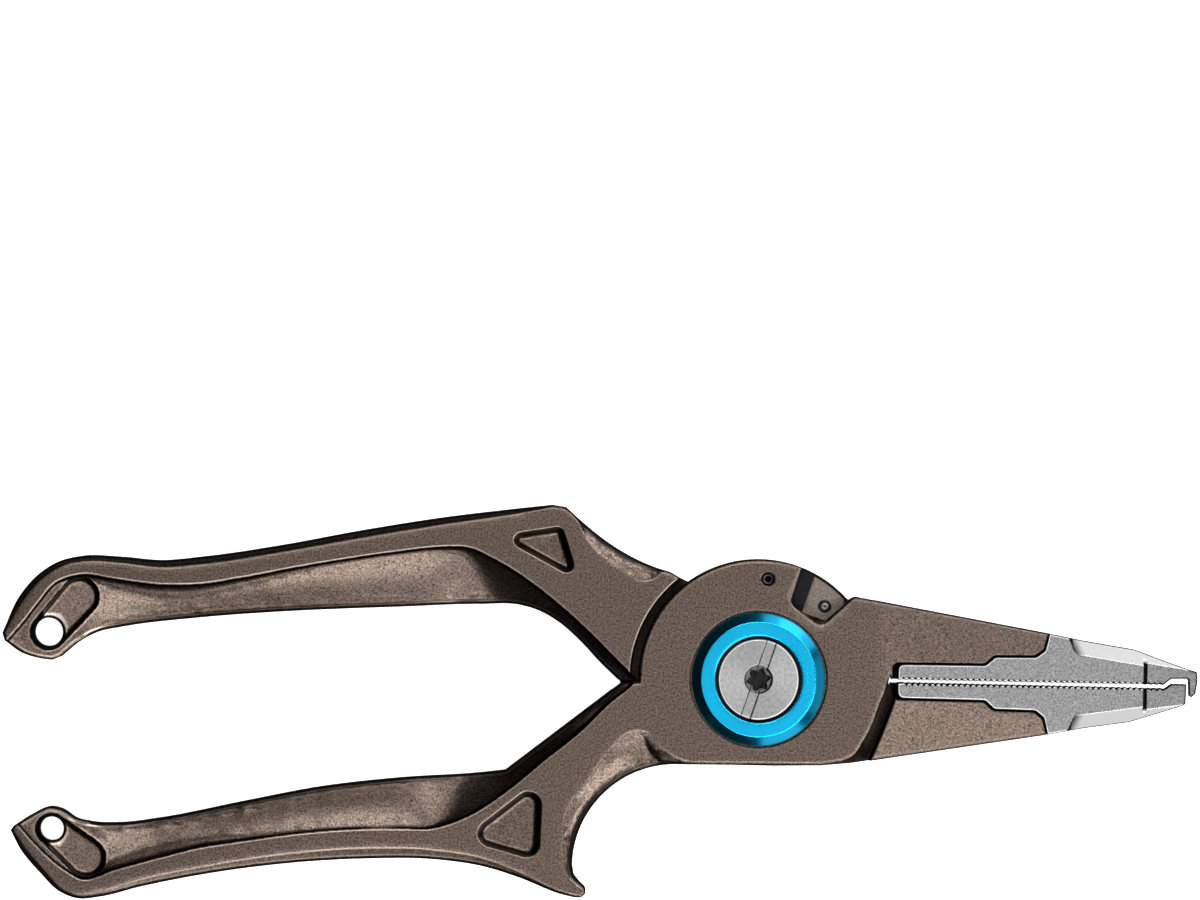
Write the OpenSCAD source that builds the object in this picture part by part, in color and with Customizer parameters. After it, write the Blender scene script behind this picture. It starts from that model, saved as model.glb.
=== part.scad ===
// Fishing pliers: two crossed aluminium frames on one pivot, steel jaws with teeth, and carbide line cutters.
// The pliers lie flat. X runs along the jaw line to the tip, Y across it, and Z up along the pivot axis.
// The origin is on the pivot axis, in the plane of the back faces. All sizes are in millimetres.

/* [Frames] */
// Thickness of the handles, which is also both cheeks with their gap
body_t = 12; // [11:0.5:16]
// Gap between the front and the rear cheek
cheek_gap = 0.3; // [0.2:0.05:0.5]
// Radius of both cheeks on the handle side
cheek_r = 19.1; // [18.6:0.1:20.5]
// Radius of both cheeks on the jaw side
cheek_jaw_r = 21.1; // [20.6:0.1:22]
// Gap between a cheek and the handle shoulder around it
shoulder_gap = 1.3; // [0.6:0.1:2]
// Gap between a cheek and the jaw arm around it
jaw_shoulder_gap = 2.1; // [0.6:0.1:3]
// Distance from the pivot down to the straight lower edge of the cheeks
cheek_drop = 13.8; // [13.3:0.1:14.3]

/* [Handles] */
// Distance from the pivot to the far end of the upper handle
handle_reach = 120.4; // [110:1:135]
// Depth of the grip's rolled edge below the flat face
grip_drop = 3; // [2:0.1:4]
// Depth of the bevel along the outer edges
bevel_drop = 1.2; // [0.6:0.1:2]
// Lean of the pocket walls, from the face to the floor
pocket_lean = 0.9; // [0.4:0.05:1.2]
// Depth of the thumb scallop at the shoulder
thumb_drop = 2.4; // [1:0.1:3.5]
// Radius of the finger choil ahead of the lower handle
choil_r = 16.5; // [15.8:0.1:17.2]
// Depth of the scallop around the choil
choil_drop = 3; // [1:0.1:4]
// Depth of the three-cornered pockets
pocket_depth = 2.2; // [1:0.1:3]
// Depth of the lanyard pockets
lanyard_depth = 2.6; // [1:0.1:3.5]
// Diameter of the lanyard hole in the upper handle
upper_lanyard_d = 4.5; // [3.5:0.1:4.7]
// Diameter of the lanyard hole in the lower handle
lower_lanyard_d = 3.8; // [3:0.1:4]

/* [Jaws] */
// Distance from the pivot to the hooked tip
jaw_reach = 70; // [64:1:80]
// Height of the jaw line above the pivot
jaw_line = 0.2; // [0:0.05:0.5]
// Thickness of the jaws where the thin tip begins
nose_t = 5.8; // [5:0.1:7]
// Step down from the jaw face to the thin tip, on each side
tip_step = 0.5; // [0.2:0.05:0.9]
// Gap between the tooth rows in the closed pose
jaw_gap = 0.5; // [0.45:0.05:0.8]
// Distance from tooth to tooth
tooth_pitch = 0.93; // [0.7:0.01:1.5]
// Depth of the teeth
tooth_depth = 0.42; // [0.2:0.02:0.6]
// Visible joint between a jaw and its arm
seat_gap = 0.25; // [0.1:0.05:0.4]
// Thickness of the tongue that carries a jaw in its arm
tongue_t = 3; // [2:0.1:4]
// Clearance around the tongue
tongue_fit = 0.05; // [0.02:0.01:0.1]
// Width of the bevel along the outer edges of the nose
nose_bevel = 2.35; // [1.5:0.05:2.8]
// Diameter of the jaw screws
jaw_screw_d = 2; // [1.6:0.1:2.6]
// Diameter of the jaw screw heads
jaw_screw_head_d = 3.6; // [3:0.1:4]

/* [Pivot] */
// Outer diameter of the blue ring
ring_d = 21.2; // [20:0.1:22]
// Diameter of the flat top of the blue ring
ring_flat_d = 18.3; // [17.5:0.1:19]
// Bore of the blue ring
ring_bore_d = 14.6; // [14.2:0.1:15.4]
// Height of the blue ring above the cheek
ring_proud = 1.4; // [0.8:0.1:2]
// Depth of the recess that holds the blue ring
ring_seat = 1.5; // [1:0.1:2]
// Gap around the blue ring in its recess
ring_side_gap = 0.3; // [0.1:0.05:0.5]
// Diameter of the bolt head
bolt_head_d = 13; // [12:0.1:13.4]
// Height of the bolt head above the cheek
bolt_head_proud = 1.1; // [0.6:0.1:1.4]
// Diameter of the bolt shank
bolt_d = 6; // [5:0.1:6.6]
// Width of the slot in the bolt head
bolt_slot_w = 1.7; // [1:0.1:2.2]
// Radius of the six lobes of the socket, at their centres
socket_r = 1.55; // [1.3:0.05:1.8]
// Outer diameter of the sleeve
sleeve_d = 9.6; // [9:0.1:10.4]
// Diameter of the sleeve's flange at the back
flange_d = 15; // [13.5:0.1:16]
// Thickness of the sleeve's flange
flange_t = 2; // [1.5:0.1:2.4]
// Distance from the pivot to the spanner holes in the flange
spanner_r = 5; // [4:0.1:5.6]
// Diameter of the spanner holes
spanner_d = 2; // [1.5:0.1:2.5]
// Running clearance between the sleeve and the bush, on the radius
run_fit = 0.05; // [0.02:0.01:0.1]
// Outer diameter of the bush
bush_d = 12; // [11.5:0.1:13]
// Outer diameter of the thrust washer
thrust_d = 18; // [14:0.1:19]
// Thickness of the thrust washer
thrust_t = 0.8; // [0.6:0.05:1.2]
// Thickness of the disc spring
spring_t = 0.5; // [0.3:0.05:0.6]
// Dish of the disc spring
spring_dish = 0.25; // [0.1:0.05:0.4]
// Diameter of the stop pin
stop_d = 2.5; // [2:0.1:3]
// Distance from the pivot to the stop pin
stop_r = 11.2; // [10.9:0.1:11.8]

/* [Cutters] */
// Thickness of the two cutter plates
cutter_t = 2.4; // [1.5:0.1:2.8]
// Clearance between the two cutters where they shear
shear_gap = 0.06; // [0.02:0.01:0.1]
// Clearance of a cutter plate in its pocket
cutter_fit = 0.08; // [0.04:0.01:0.15]
// Distance from the cheeks' rim in to the middle of the cutting edges
cutter_inset = 3; // [2.6:0.1:3.4]
// Direction of the cutting edges, from the jaw line
cutter_angle = 71.1; // [66:0.1:76]
// Diameter of the holes for the cutter screws
cutter_hole_d = 2.2; // [2:0.1:2.4]
// Diameter of the cutter screw heads
cutter_head_d = 1.9; // [1.5:0.05:1.95]

/* [Motion] */
// Largest opening of the jaws, in degrees
open_angle = 32; // [20:1:36]

/* [Hidden] */
$fn = 64;
mid = body_t / 2;
// Top of the rear cheek and underside of the front cheek
rear_top = mid - cheek_gap / 2;
front_under = mid + cheek_gap / 2;
shoulder_r = cheek_r + shoulder_gap;
jaw_shoulder_r = cheek_jaw_r + jaw_shoulder_gap;
// Small overrun of cutting shapes past the faces they cut
over = 1;
bronze = [0.44, 0.39, 0.35];
steel = [0.68, 0.68, 0.68];

// Smooth curve through points of any dimension, n steps to a span
function slope(p, i) =
  i == 0 ? (p[1] - p[0]) / norm(p[1] - p[0]) :
  i == len(p) - 1 ? (p[i] - p[i - 1]) / norm(p[i] - p[i - 1]) :
  let (a = norm(p[i] - p[i - 1]), b = norm(p[i + 1] - p[i]))
  ((p[i] - p[i - 1]) * b / a + (p[i + 1] - p[i]) * a / b) / (a + b);
function on_span(p, i, t) =
  let (d = norm(p[i + 1] - p[i]))
  p[i] * (2 * t * t * t - 3 * t * t + 1) + slope(p, i) * d * (t * t * t - 2 * t * t + t)
  + p[i + 1] * (3 * t * t - 2 * t * t * t) + slope(p, i + 1) * d * (t * t * t - t * t);
function curve(p, n = 4) =
  concat([for (i = [0:len(p) - 2]) for (j = [0:n - 1]) on_span(p, i, j / n)], [p[len(p) - 1]]);
function arc(c, r, a0, a1, n) =
  [for (i = [0:n]) let (a = a0 + (a1 - a0) * i / n) [c[0] + r * cos(a), c[1] + r * sin(a)]];
function backward(p) = [for (i = [len(p) - 1:-1:0]) p[i]];
function flip_y(p) = [for (q = p) [q[0], -q[1]]];
function shifted(p, v) = [for (q = p) q + v];
// Corner b between a and c rounded with radius r
function round_corner(a, b, c, r, n = 5) =
  let (u = (a - b) / norm(a - b), v = (c - b) / norm(c - b), h = acos(u * v) / 2)
  let (m = b + (u + v) / norm(u + v) * r / sin(h), p = b + u * r / tan(h), q = b + v * r / tan(h))
  let (a0 = atan2(p[1] - m[1], p[0] - m[0]), t = atan2(q[1] - m[1], q[0] - m[0]) - a0)
  arc(m, r, a0, a0 + (t > 180 ? t - 360 : t < -180 ? t + 360 : t), n);
function rounded(p, r, n = 5) =
  [for (i = [0:len(p) - 1])
    each round_corner(p[(i + len(p) - 1) % len(p)], p[i], p[(i + 1) % len(p)], r, n)];

// The handles are drawn for a reach of 120.4 mm and stretch behind the finger grip to the wanted reach
drawn_reach = 120.4;
grip_start = 48;
grip_stretch = (handle_reach - grip_start) / (drawn_reach - grip_start);
function at_reach(x) = x > -grip_start ? x : -grip_start + (x + grip_start) * grip_stretch;
function stretched(p) = [for (q = p) concat(at_reach(q[0]), [for (i = [1:len(q) - 1]) q[i]])];
function stretched_rows(p) = [for (q = p) [at_reach(q[0]), q[1], at_reach(q[2]), q[3], q[4]]];
function flat(p) = [for (q = p) [q[0], q[1]]];
// The noses are drawn for a reach of 70 mm and stretch ahead of the jaw arms
drawn_nose = 70;
arm_end = 46;
nose_stretch = (jaw_reach - arm_end) / (drawn_nose - arm_end);
function at_nose(x) = x < arm_end ? x : arm_end + (x - arm_end) * nose_stretch;
function nosed(p) = [for (q = p) [at_nose(q[0]), q[1]]];

// Upper handle: outer edge from the end to the thumb corner, each point with the width of its bevel and a share
// of the bevel's depth, then the thumb hollow, and the inner edge from the shoulder to the end
upper_outer = [[-120.4, 4.8, 0.5, 0.1], [-117.7, 10.9, 1, 0.5], [-114.6, 14.5, 1, 0.7],
  [-111.4, 16.5, 1, 0.7], [-108.2, 17.3, 1, 0.7], [-102, 17.3, 1, 0.8], [-95.5, 16.9, 1.2, 1],
  [-89, 17.6, 1.3, 1], [-76.5, 19.7, 1.2, 1], [-63.9, 22.3, 1.3, 1], [-51.2, 24.6, 1.2, 1],
  [-38.5, 26.4, 0.8, 0.7], [-33.4, 27.05, 0.4, 0.3]];
upper_thumb = [[-31.2, 26.9], [-28.9, 25.2], [-25.7, 22.7], [-22.5, 20.6], [-19.3, 18.9], [-16, 17.7],
  [-14, 16.7], [-12.9, 15.9]];
upper_inner = [[-22.3, -0.5], [-25.3, 2.2], [-28.5, 5.5], [-31.8, 8.3], [-35, 10.1], [-38.2, 11], [-44.5, 11],
  [-57.2, 10.3], [-76.3, 9.1], [-89, 7.9], [-101.7, 6.1], [-104.8, 5.4], [-108, 3.8], [-111.1, 1.2]];
upper_end = [[-112.4, 0.65], [-114.5, 0.9], [-117.3, 1.75], [-120, 3.6]];
upper_hole = [at_reach(-113.1), 5.1];
upper_pocket_end = [at_reach(-108.2), 10.8];

// Lower handle: outer edge from the end to the hook, with its bevel, the hook, inner edge from arm to end
lower_outer = [[-118.4, -26.5, 0.5, 0.1], [-116.8, -29.5, 0.8, 0.4], [-113.6, -33.2, 0.8, 0.5],
  [-110.3, -36.2, 0.7, 0.5], [-107.6, -37.2, 0.7, 0.5], [-103.9, -36.8, 0.8, 0.7], [-97.6, -35.1, 1.1, 0.9],
  [-88.1, -33, 1.2, 1], [-75.4, -31, 1.5, 1.1], [-62.7, -29.9, 1.7, 1.1], [-50, -29.8, 1.5, 1.1],
  [-43.6, -30.6, 1.3, 1], [-37.2, -32.4, 0.8, 0.7], [-30.8, -34.8, 0.4, 0.3], [-28.6, -35.3, 0.3, 0.2]];
lower_hook = [[-27.6, -35.3], [-26.8, -34.7], [-26.8, -34], [-27.8, -32.9], [-28.7, -31.8]];
// Corner of the lower handle beside the upper handle's shoulder, clear of it when the jaws close
lower_root = [-21.5, -0.95];
lower_inner = [[-40, -15.3], [-44, -15.8], [-56.7, -16.9], [-69.3, -18.6], [-82, -21.3], [-94.7, -24.1],
  [-101, -25], [-105.3, -25], [-108, -24.5], [-110.3, -23.1], [-112, -22.7], [-115.3, -24.05], [-117.9, -25.8]];
lower_hole = [at_reach(-111.95), -26.2];
lower_pocket_end = [at_reach(-106.3), -30.6];
choil_c = [-12.5, -cheek_drop - choil_r];

// Jaw arm, measured from the jaw line: the seat of the steel jaw and the outer edge back to the cheek
arm_seat = [[21.35, 2.1], [22.2, 3], [35.9, 3.1], [37.4, 4.45], [43.9, 4.55], [45.3, 5.6], [45.95, 8.1]];
arm_back = [15.05, 13.3];
arm_upper = concat(arm_seat, [arm_back]);

// Outer edges as drawn, shared by the outlines and their bevels
upper_edge = curve(stretched(upper_outer), 3);
lower_edge = curve(stretched(lower_outer), 3);
// Whole outline of the half with the lower handle, then of the half with the upper handle
front_outline = concat(
  flat(lower_edge),
  curve(lower_hook, 2),
  arc(choil_c, choil_r, 180, 90, 24),
  [[10.1, -cheek_drop + 0.3]],
  arc([0, 0], cheek_jaw_r, -35.5, 1, 10),
  shifted(arm_upper, [0, jaw_line]),
  arc([0, 0], cheek_r, 43, 182.6, 42),
  [lower_root],
  curve(stretched(lower_inner), 3));
rear_outline = concat(
  arc([0, 0], cheek_r, 182, 180 + asin(cheek_drop / cheek_r), 14),
  [[3, -cheek_drop], [10.1, -cheek_drop + 0.2]],
  shifted(backward(flip_y(arm_upper)), [0, jaw_line]),
  arc([0, 0], cheek_jaw_r, -1, 40, 12),
  arc([0, 0], cheek_r, 43, 127, 26),
  backward(curve(upper_thumb, 3)),
  backward(flat(upper_edge)),
  backward(curve(stretched(upper_end), 3)),
  backward(curve(stretched(upper_inner), 3)));

// Edge cuts, as rows of face point, edge point and drop: the face point is where a cut leaves the flat face
upper_grip = [[-118.9, 4.5, -119, 2.85, 0.2], [-117.3, 6.4, -117.2, 1.7, 0.35],
  [-114.9, 9.7, -113.9, 0.75, 0.45], [-112, 13.1, -110.4, 1.9, 0.5], [-108.2, 14.4, -107, 4.4, 0.6],
  [-102.4, 13.8, -101.7, 6.1, 0.9], [-95.5, 13.1, -95.3, 7.1, 1], [-89.1, 13.3, -89, 7.9, 1],
  [-82.8, 14.4, -82.6, 8.55, 1], [-73.3, 16.4, -73, 9.3, 1], [-65.3, 17.9, -65, 9.8, 1],
  [-57.4, 19.2, -57.2, 10.3, 1], [-51.1, 20, -50.9, 10.7, 1], [-47.2, 20.1, -46, 11, 1],
  [-42.6, 18.4, -41, 11.15, 1], [-36.7, 14.9, -36, 10.5, 0.9], [-31.8, 11.2, -30.6, 7.35, 0.75],
  [-27, 7, -25.8, 2.7, 0.65], [-21.3, 1.5, -20.2, -2.4, 0.6]];
lower_grip = [[-116.6, -26.3, -116.4, -24.8, 0.2], [-114.3, -28.9, -114, -23.4, 0.35],
  [-110, -32.5, -111.2, -22.75, 0.45], [-107, -34.1, -108.6, -24.2, 0.55],
  [-101.6, -32.5, -101.6, -25, 0.9], [-94.5, -30.4, -94.7, -24.1, 1], [-88.2, -28.7, -88.3, -22.6, 1],
  [-81.9, -27.6, -82, -21.3, 1], [-72.4, -26.1, -72.5, -19.2, 1], [-64.4, -25.3, -64.6, -17.9, 1],
  [-56.5, -25, -56.7, -16.9, 1], [-51.7, -24.9, -50.6, -16.3, 1], [-48.2, -23.9, -45.8, -15.9, 1],
  [-43.6, -21.6, -42, -15.5, 1], [-39.1, -18.3, -39.4, -14.8, 0.7], [-34.4, -14.2, -35.4, -11.7, 0.5],
  [-28.2, -9, -29.6, -7.2, 0.45], [-22.6, -3.9, -24, -2.8, 0.4]];
// Bevel along an edge: the face line lies its width inside the edge, on the given side, and both ends stop half
// way between two points of the edge
function bevel_stop(e, i) = i == 1 ? (e[0] + e[1]) / 2 : i == len(e) - 2 ? (e[i] + e[i + 1]) / 2 : e[i];
function bevel_row(q, along, side) =
  let (n = side * [-along[1], along[0]] / norm([along[0], along[1]]))
  [q[0] + n[0] * q[2], q[1] + n[1] * q[2], q[0] - n[0] * 0.05, q[1] - n[1] * 0.05, q[3]];
function bevel_rows(e, side) =
  [for (i = [1:len(e) - 2]) bevel_row(bevel_stop(e, i), e[i + 1] - e[i - 1], side)];
thumb_cut = [[-31, 26, -30.5, 26.6, 0.15], [-29, 23.6, -28.4, 24.8, 0.6], [-27.3, 21.2, -25.9, 22.8, 1],
  [-25, 19.3, -23.7, 21.4, 1], [-22, 17.7, -20.9, 19.8, 1], [-19, 16.1, -18.3, 18.6, 1],
  [-17.2, 16, -16.7, 18, 0.8], [-15.9, 17, -15.4, 17.5, 0.15]];
function choil_point(a) = choil_c + choil_r * [cos(a), sin(a)];
function choil_row(x, y, a, d) = [x, y, choil_point(a)[0], choil_point(a)[1], d];
choil_cut = [choil_row(-29.4, -28.6, 176, 0.15), choil_row(-30.1, -24.2, 166, 0.8),
  choil_row(-29.4, -20.7, 153, 1),
  choil_row(-27.2, -18, 143, 1), choil_row(-24.8, -15.2, 132, 1), choil_row(-21.8, -11.4, 119, 1),
  choil_row(-19.3, -9.2, 109, 1), choil_row(-16.5, -10, 102, 0.9), choil_row(-13.9, -12, 95, 0.5),
  choil_row(-12, -13.1, 91.4, 0.15)];
// Sections of the edge cuts from the face point (0) to the edge (1), as shares of the drop
roll = [[0, 0], [0.09, 0.27], [0.3, 0.36], [0.55, 0.52], [0.8, 0.76], [1, 1]];
bevel = [[0, 0], [1, 1]];
scoop = [[0, 0], [0.25, 0.46], [0.5, 0.74], [0.75, 0.91], [1, 1]];

// Three-cornered pockets
upper_pocket = [[-41.8, 21.9], [-31.75, 23.65], [-28.9, 15.15]];
lower_pocket = [[-46.5, -26.4], [-34, -16.3], [-34.3, -29.6]];
function in_centre(p) =
  let (a = norm(p[1] - p[2]), b = norm(p[2] - p[0]), c = norm(p[0] - p[1]))
  (p[0] * a + p[1] * b + p[2] * c) / (a + b + c);
function in_radius(p) =
  abs(cross(p[1] - p[0], p[2] - p[0])) / (norm(p[1] - p[2]) + norm(p[2] - p[0]) + norm(p[0] - p[1]));

// Jaws, both measured outwards from the jaw line: edge of the nose from the arm to the tip, then the tip's end
upper_nose = [[46.1, 8.05], [51.7, 7.05], [59.9, 5.8], [65, 4], [68.8, 2.75], [69.85, 2.45]];
lower_nose = [[46.1, 8.05], [51.9, 6.95], [59.3, 5.8], [65.7, 3.7], [67.7, 3], [68.15, 2.7]];
upper_tip = [[70, 1.1], [69.7, -1], [69, -1.65], [68.6, -1.35], [68.5, 1.1], [68.3, 1.3], [65.8, 1.25]];
lower_tip = [[68.2, -0.45], [65.8, -0.45]];
tooth_start = 23.4;
tooth_end = at_nose(65.4);
teeth = floor((tooth_end - tooth_start) / tooth_pitch);
tooth_row = [for (i = [0:teeth - 1]) each [
  [tooth_start + i * tooth_pitch, jaw_gap / 2],
  [tooth_start + (i + 0.5) * tooth_pitch, jaw_gap / 2 + tooth_depth]]];
tooth_last = [tooth_start + teeth * tooth_pitch, jaw_gap / 2];
jaw_seat = shifted(arm_seat, [seat_gap * 0.7, -seat_gap]);
upper_jaw_outline = concat(
  tooth_row, [tooth_last], backward(nosed(upper_tip)), backward(nosed(upper_nose)),
  backward([for (i = [2:len(jaw_seat) - 1]) jaw_seat[i]]), [[tooth_start - 0.2, 3 - seat_gap]]);
lower_jaw_outline = concat(
  tooth_row, [tooth_last], backward(nosed(lower_tip)), backward(nosed(lower_nose)),
  backward([for (i = [2:len(jaw_seat) - 1]) jaw_seat[i]]), [[tooth_start - 0.2, 3 - seat_gap]]);
// The jaw faces taper from here to the thin tip
taper_x = 19.2;
tip_x = at_nose(61.3);
taper = atan((body_t - nose_t) / 2 / (tip_x - taper_x));
function face_z(x) = body_t - (x - taper_x) * tan(taper);
tongue = [[25, 1.5], [43, 1.5], [43, 7], [37, 8.2], [25, 8.2]];
jaw_screw_at = [[28, 6], [34.2, 6]];
jaw_head_z = mid - tongue_t / 2 - 1.2;
jaw_head_h = 1.6;
jaw_screw_end = mid + tongue_t / 2 + 1.5;

// Pivot stack, from the back to the front
flange_top = flange_t;
flange_gap = 0.25;
bush_top = rear_top - (thrust_t - cheek_gap);
ring_floor = body_t - ring_seat;
sleeve_top = ring_floor - 0.3;
sleeve_fit = 0.02;
bolt_fit = 0.05;
head_under = ring_floor + spring_dish + spring_t;
head_top = body_t + bolt_head_proud;
// Slot for the stop pin, with an end gap of about 0.3 mm at both limits
stop_at = 215;
close_angle = 0.4;
// Lower end of the stop pin, and how far it is pressed into the front cheek
stop_low = 2.8;
stop_grip = 3;
stop_half = stop_d / 2 + 0.25;
slot_from = stop_at - close_angle - 1.6;
slot_to = stop_at + open_angle + 1.6;
function on_stop_circle(a) = stop_r * [cos(a), sin(a)];
stop_slot = concat(
  arc([0, 0], stop_r + stop_half, slot_from, slot_to, 16),
  arc(on_stop_circle(slot_to), stop_half, slot_to, slot_to + 180, 12),
  arc([0, 0], stop_r - stop_half, slot_to, slot_from, 16),
  arc(on_stop_circle(slot_from), stop_half, slot_from + 180, slot_from + 360, 12));

// Cutters, in their own axes: origin on the cutting edge, X square to it, Y along it
edge_mid = (cheek_r - cutter_inset) * [cos(61), sin(61)];
cutter_rim = cheek_r - 0.5;
front_screw = [-6.9, -0.35];
rear_screw = [3.15, -1.41];
// Window over the cutters, measured from the middle of the cutting edge
window_corners = [[-0.6, 5.6], [-2.95, -1.7], [2.05, -5.25], [6.9, -0.6]];
window = concat(
  [window_corners[0]], round_corner(window_corners[0], window_corners[1], window_corners[2], 1),
  round_corner(window_corners[1], window_corners[2], window_corners[3], 1.2), [[7.5, -0.5], [9.7, 2.9], [4.2, 7.9]]);

// Closed solid between a face line and an edge line: everything above its section is cut away
module edge_cut(r, section, drop, reach = 1.3) {
  m = len(section) + 3;
  k = len(r);
  points = [for (q = r)
    let (b = [q[0], q[1]], d = [q[2], q[3]] - b, out = 1 + reach / norm(d), w = drop * q[4])
    each concat(
      [[b[0] + d[0] * out, b[1] + d[1] * out, body_t + over], [b[0], b[1], body_t + over]],
      [for (s = section) [b[0] + d[0] * s[0], b[1] + d[1] * s[0], body_t - w * s[1]]],
      [[b[0] + d[0] * out, b[1] + d[1] * out, body_t - w * 1.02]])];
  sides = [for (i = [0:k - 2]) for (j = [0:m - 1]) let (a = i * m + j, b = i * m + (j + 1) % m)
    each [[a, b, b + m], [a, b + m, a + m]]];
  ends = [for (j = [1:m - 2]) each [[0, j + 1, j], [(k - 1) * m, (k - 1) * m + j, (k - 1) * m + j + 1]]];
  faces = concat(sides, ends);
  // Rows may run either way along the edge, and the faces have to look outwards
  right_hand = cross([r[1][0] - r[0][0], r[1][1] - r[0][1]], [r[0][2] - r[0][0], r[0][3] - r[0][1]]) < 0;
  polyhedron(points, right_hand ? faces : [for (f = faces) [f[0], f[2], f[1]]]);
}

// The same cut on the front and on the back face
module both_faces() {
  children();
  translate([0, 0, body_t])
    mirror([0, 0, 1])
      children();
}

// Pocket from the front face with leaning walls
module leaning_pocket(p, depth, r) {
  c = in_centre(p);
  floor_share = 1 - pocket_lean / in_radius(p);
  top_share = 1 + (1 - floor_share) * 0.4 / depth;
  translate([c[0], c[1], body_t - depth])
    linear_extrude(height = depth + 0.4, scale = top_share / floor_share)
      polygon(rounded(shifted(p, -c), r, 6) * floor_share);
}

// Slot pocket from a lanyard hole, wider at its far end
module lanyard_pocket(a, b, ra, rb) {
  hull() {
    translate([a[0], a[1], body_t - lanyard_depth])
      cylinder(r1 = ra, r2 = ra + 0.6, h = lanyard_depth + 0.6, $fn = 32);
    translate([b[0], b[1], body_t - lanyard_depth])
      cylinder(r1 = rb, r2 = rb + 0.9, h = lanyard_depth + 0.6, $fn = 32);
  }
}

// Room for the other half's cheek, between two heights
module cheek_room(z0, z1) {
  translate([0, 0, z0])
    cylinder(r = shoulder_r, h = z1 - z0, $fn = 128);
  intersection() {
    translate([0, 0, z0])
      cylinder(r = jaw_shoulder_r, h = z1 - z0, $fn = 128);
    translate([0, -40, z0 - over])
      cube([40, 80, z1 - z0 + 2 * over]);
  }
}

// Everything above the tapering jaw face, from x on and sunk by s
module above_jaw_face(x, s) {
  translate([x, -30, face_z(x) - s])
    rotate([0, taper, 0])
      cube([80, 60, 20]);
}

module jaw_taper() {
  both_faces()
    above_jaw_face(taper_x, 0);
}

// Bevel along the outer edge of a nose, begun by the round end of the cutter
module nose_edge_bevel() {
  x = at_nose(50.3);
  both_faces()
    translate([x, 7.3 - nose_bevel, face_z(x)])
      rotate([0, taper, -9.2])
        rotate([-45, 0, 0]) {
          translate([0, -6, 0])
            cube([60, 14, 8]);
          translate([0, 3.2, 0])
            cylinder(r = 1.7, h = 8);
        }
}

module jaw_tongue(fit) {
  translate([0, 0, mid - tongue_t / 2 - fit])
    linear_extrude(height = tongue_t + 2 * fit)
      polygon([tongue[0] + [-fit, 0], tongue[1] + [fit, 0], tongue[2] + [fit, fit], tongue[3] + [0, fit],
        tongue[4] + [-fit, fit]]);
}

module jaw_screw_holes() {
  for (p = jaw_screw_at) {
    translate([p[0], p[1], jaw_head_z])
      cylinder(d = jaw_screw_d + 0.1, h = jaw_screw_end + 0.2 - jaw_head_z);
    translate([p[0], p[1], -over])
      cylinder(d = jaw_screw_head_d + 0.2, h = jaw_head_z + over);
  }
}

module jaw_screws() {
  for (p = jaw_screw_at) {
    translate([p[0], p[1], jaw_head_z])
      cylinder(d = jaw_screw_d, h = jaw_screw_end - jaw_head_z);
    difference() {
      translate([p[0], p[1], jaw_head_z - jaw_head_h])
        cylinder(d = jaw_screw_head_d, h = jaw_head_h);
      translate([p[0], p[1], jaw_head_z - jaw_head_h - over])
        cylinder(d = jaw_screw_d * 0.9, h = over + 0.9, $fn = 6);
    }
  }
}

// Lifts what is drawn above the jaw line to its place, or turns it over to below the line
module above_line() {
  translate([0, jaw_line, 0])
    children();
}

module below_line() {
  translate([0, jaw_line, 0])
    mirror([0, 1, 0])
      children();
}

// What is cut from a jaw arm, above the jaw line
module arm_cuts() {
  jaw_tongue(tongue_fit);
  jaw_screw_holes();
}

// Cutter plate before its screw hole, between two heights
module cutter_plate(x0, x1, y0, y1, z0, z1, fit) {
  intersection() {
    translate([edge_mid[0], edge_mid[1], z0])
      rotate([0, 0, cutter_angle - 90])
        translate([x0 - fit, y0 - fit, 0])
          cube([x1 - x0 + 2 * fit, y1 - y0 + 2 * fit, z1 - z0]);
    translate([0, 0, z0 - over])
      cylinder(r = cutter_rim + fit, h = z1 - z0 + 2 * over, $fn = 128);
  }
}

module at_cutter(p) {
  translate([edge_mid[0], edge_mid[1], 0])
    rotate([0, 0, cutter_angle - 90])
      translate([p[0], p[1], 0])
        children();
}

module lower_handle_frame()
  color(bronze)
    difference() {
      linear_extrude(height = body_t)
        polygon(front_outline);
      cheek_room(-over, front_under);
      both_faces() {
        edge_cut(curve(stretched_rows(lower_grip), 3), roll, grip_drop);
        edge_cut(bevel_rows(lower_edge, 1), bevel, bevel_drop);
        edge_cut(curve(choil_cut, 3), scoop, choil_drop);
        leaning_pocket(lower_pocket, pocket_depth, 2.1);
        lanyard_pocket(lower_hole, lower_pocket_end, lower_lanyard_d / 2 + 0.2, 2.45);
      }
      translate([lower_hole[0], lower_hole[1], -over])
        cylinder(d = lower_lanyard_d, h = body_t + 2 * over);
      jaw_taper();
      above_line()
        arm_cuts();
      // Cutter window, cutter pocket and the holes for its screw
      translate([0, 0, front_under - over])
        linear_extrude(height = body_t)
          polygon(shifted(window, edge_mid));
      cutter_plate(-9, 1, -2.55, 2.7, mid - over, mid + shear_gap / 2 + cutter_t, cutter_fit);
      at_cutter(front_screw) {
        translate([0, 0, mid])
          cylinder(d = 1.7, h = body_t);
        translate([0, 0, body_t - 2.2])
          cylinder(d = cutter_hole_d, h = 2.2 + over);
      }
      // Pivot bore, ring recess and stop pin hole
      cylinder(d = sleeve_d + 2 * sleeve_fit, h = body_t + over);
      translate([0, 0, ring_floor])
        cylinder(d = ring_d + 2 * ring_side_gap, h = ring_seat + over, $fn = 128);
      rotate([0, 0, stop_at])
        translate([stop_r, 0, mid])
          cylinder(d = stop_d + 0.02, h = stop_grip + 0.2);
    }

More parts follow.
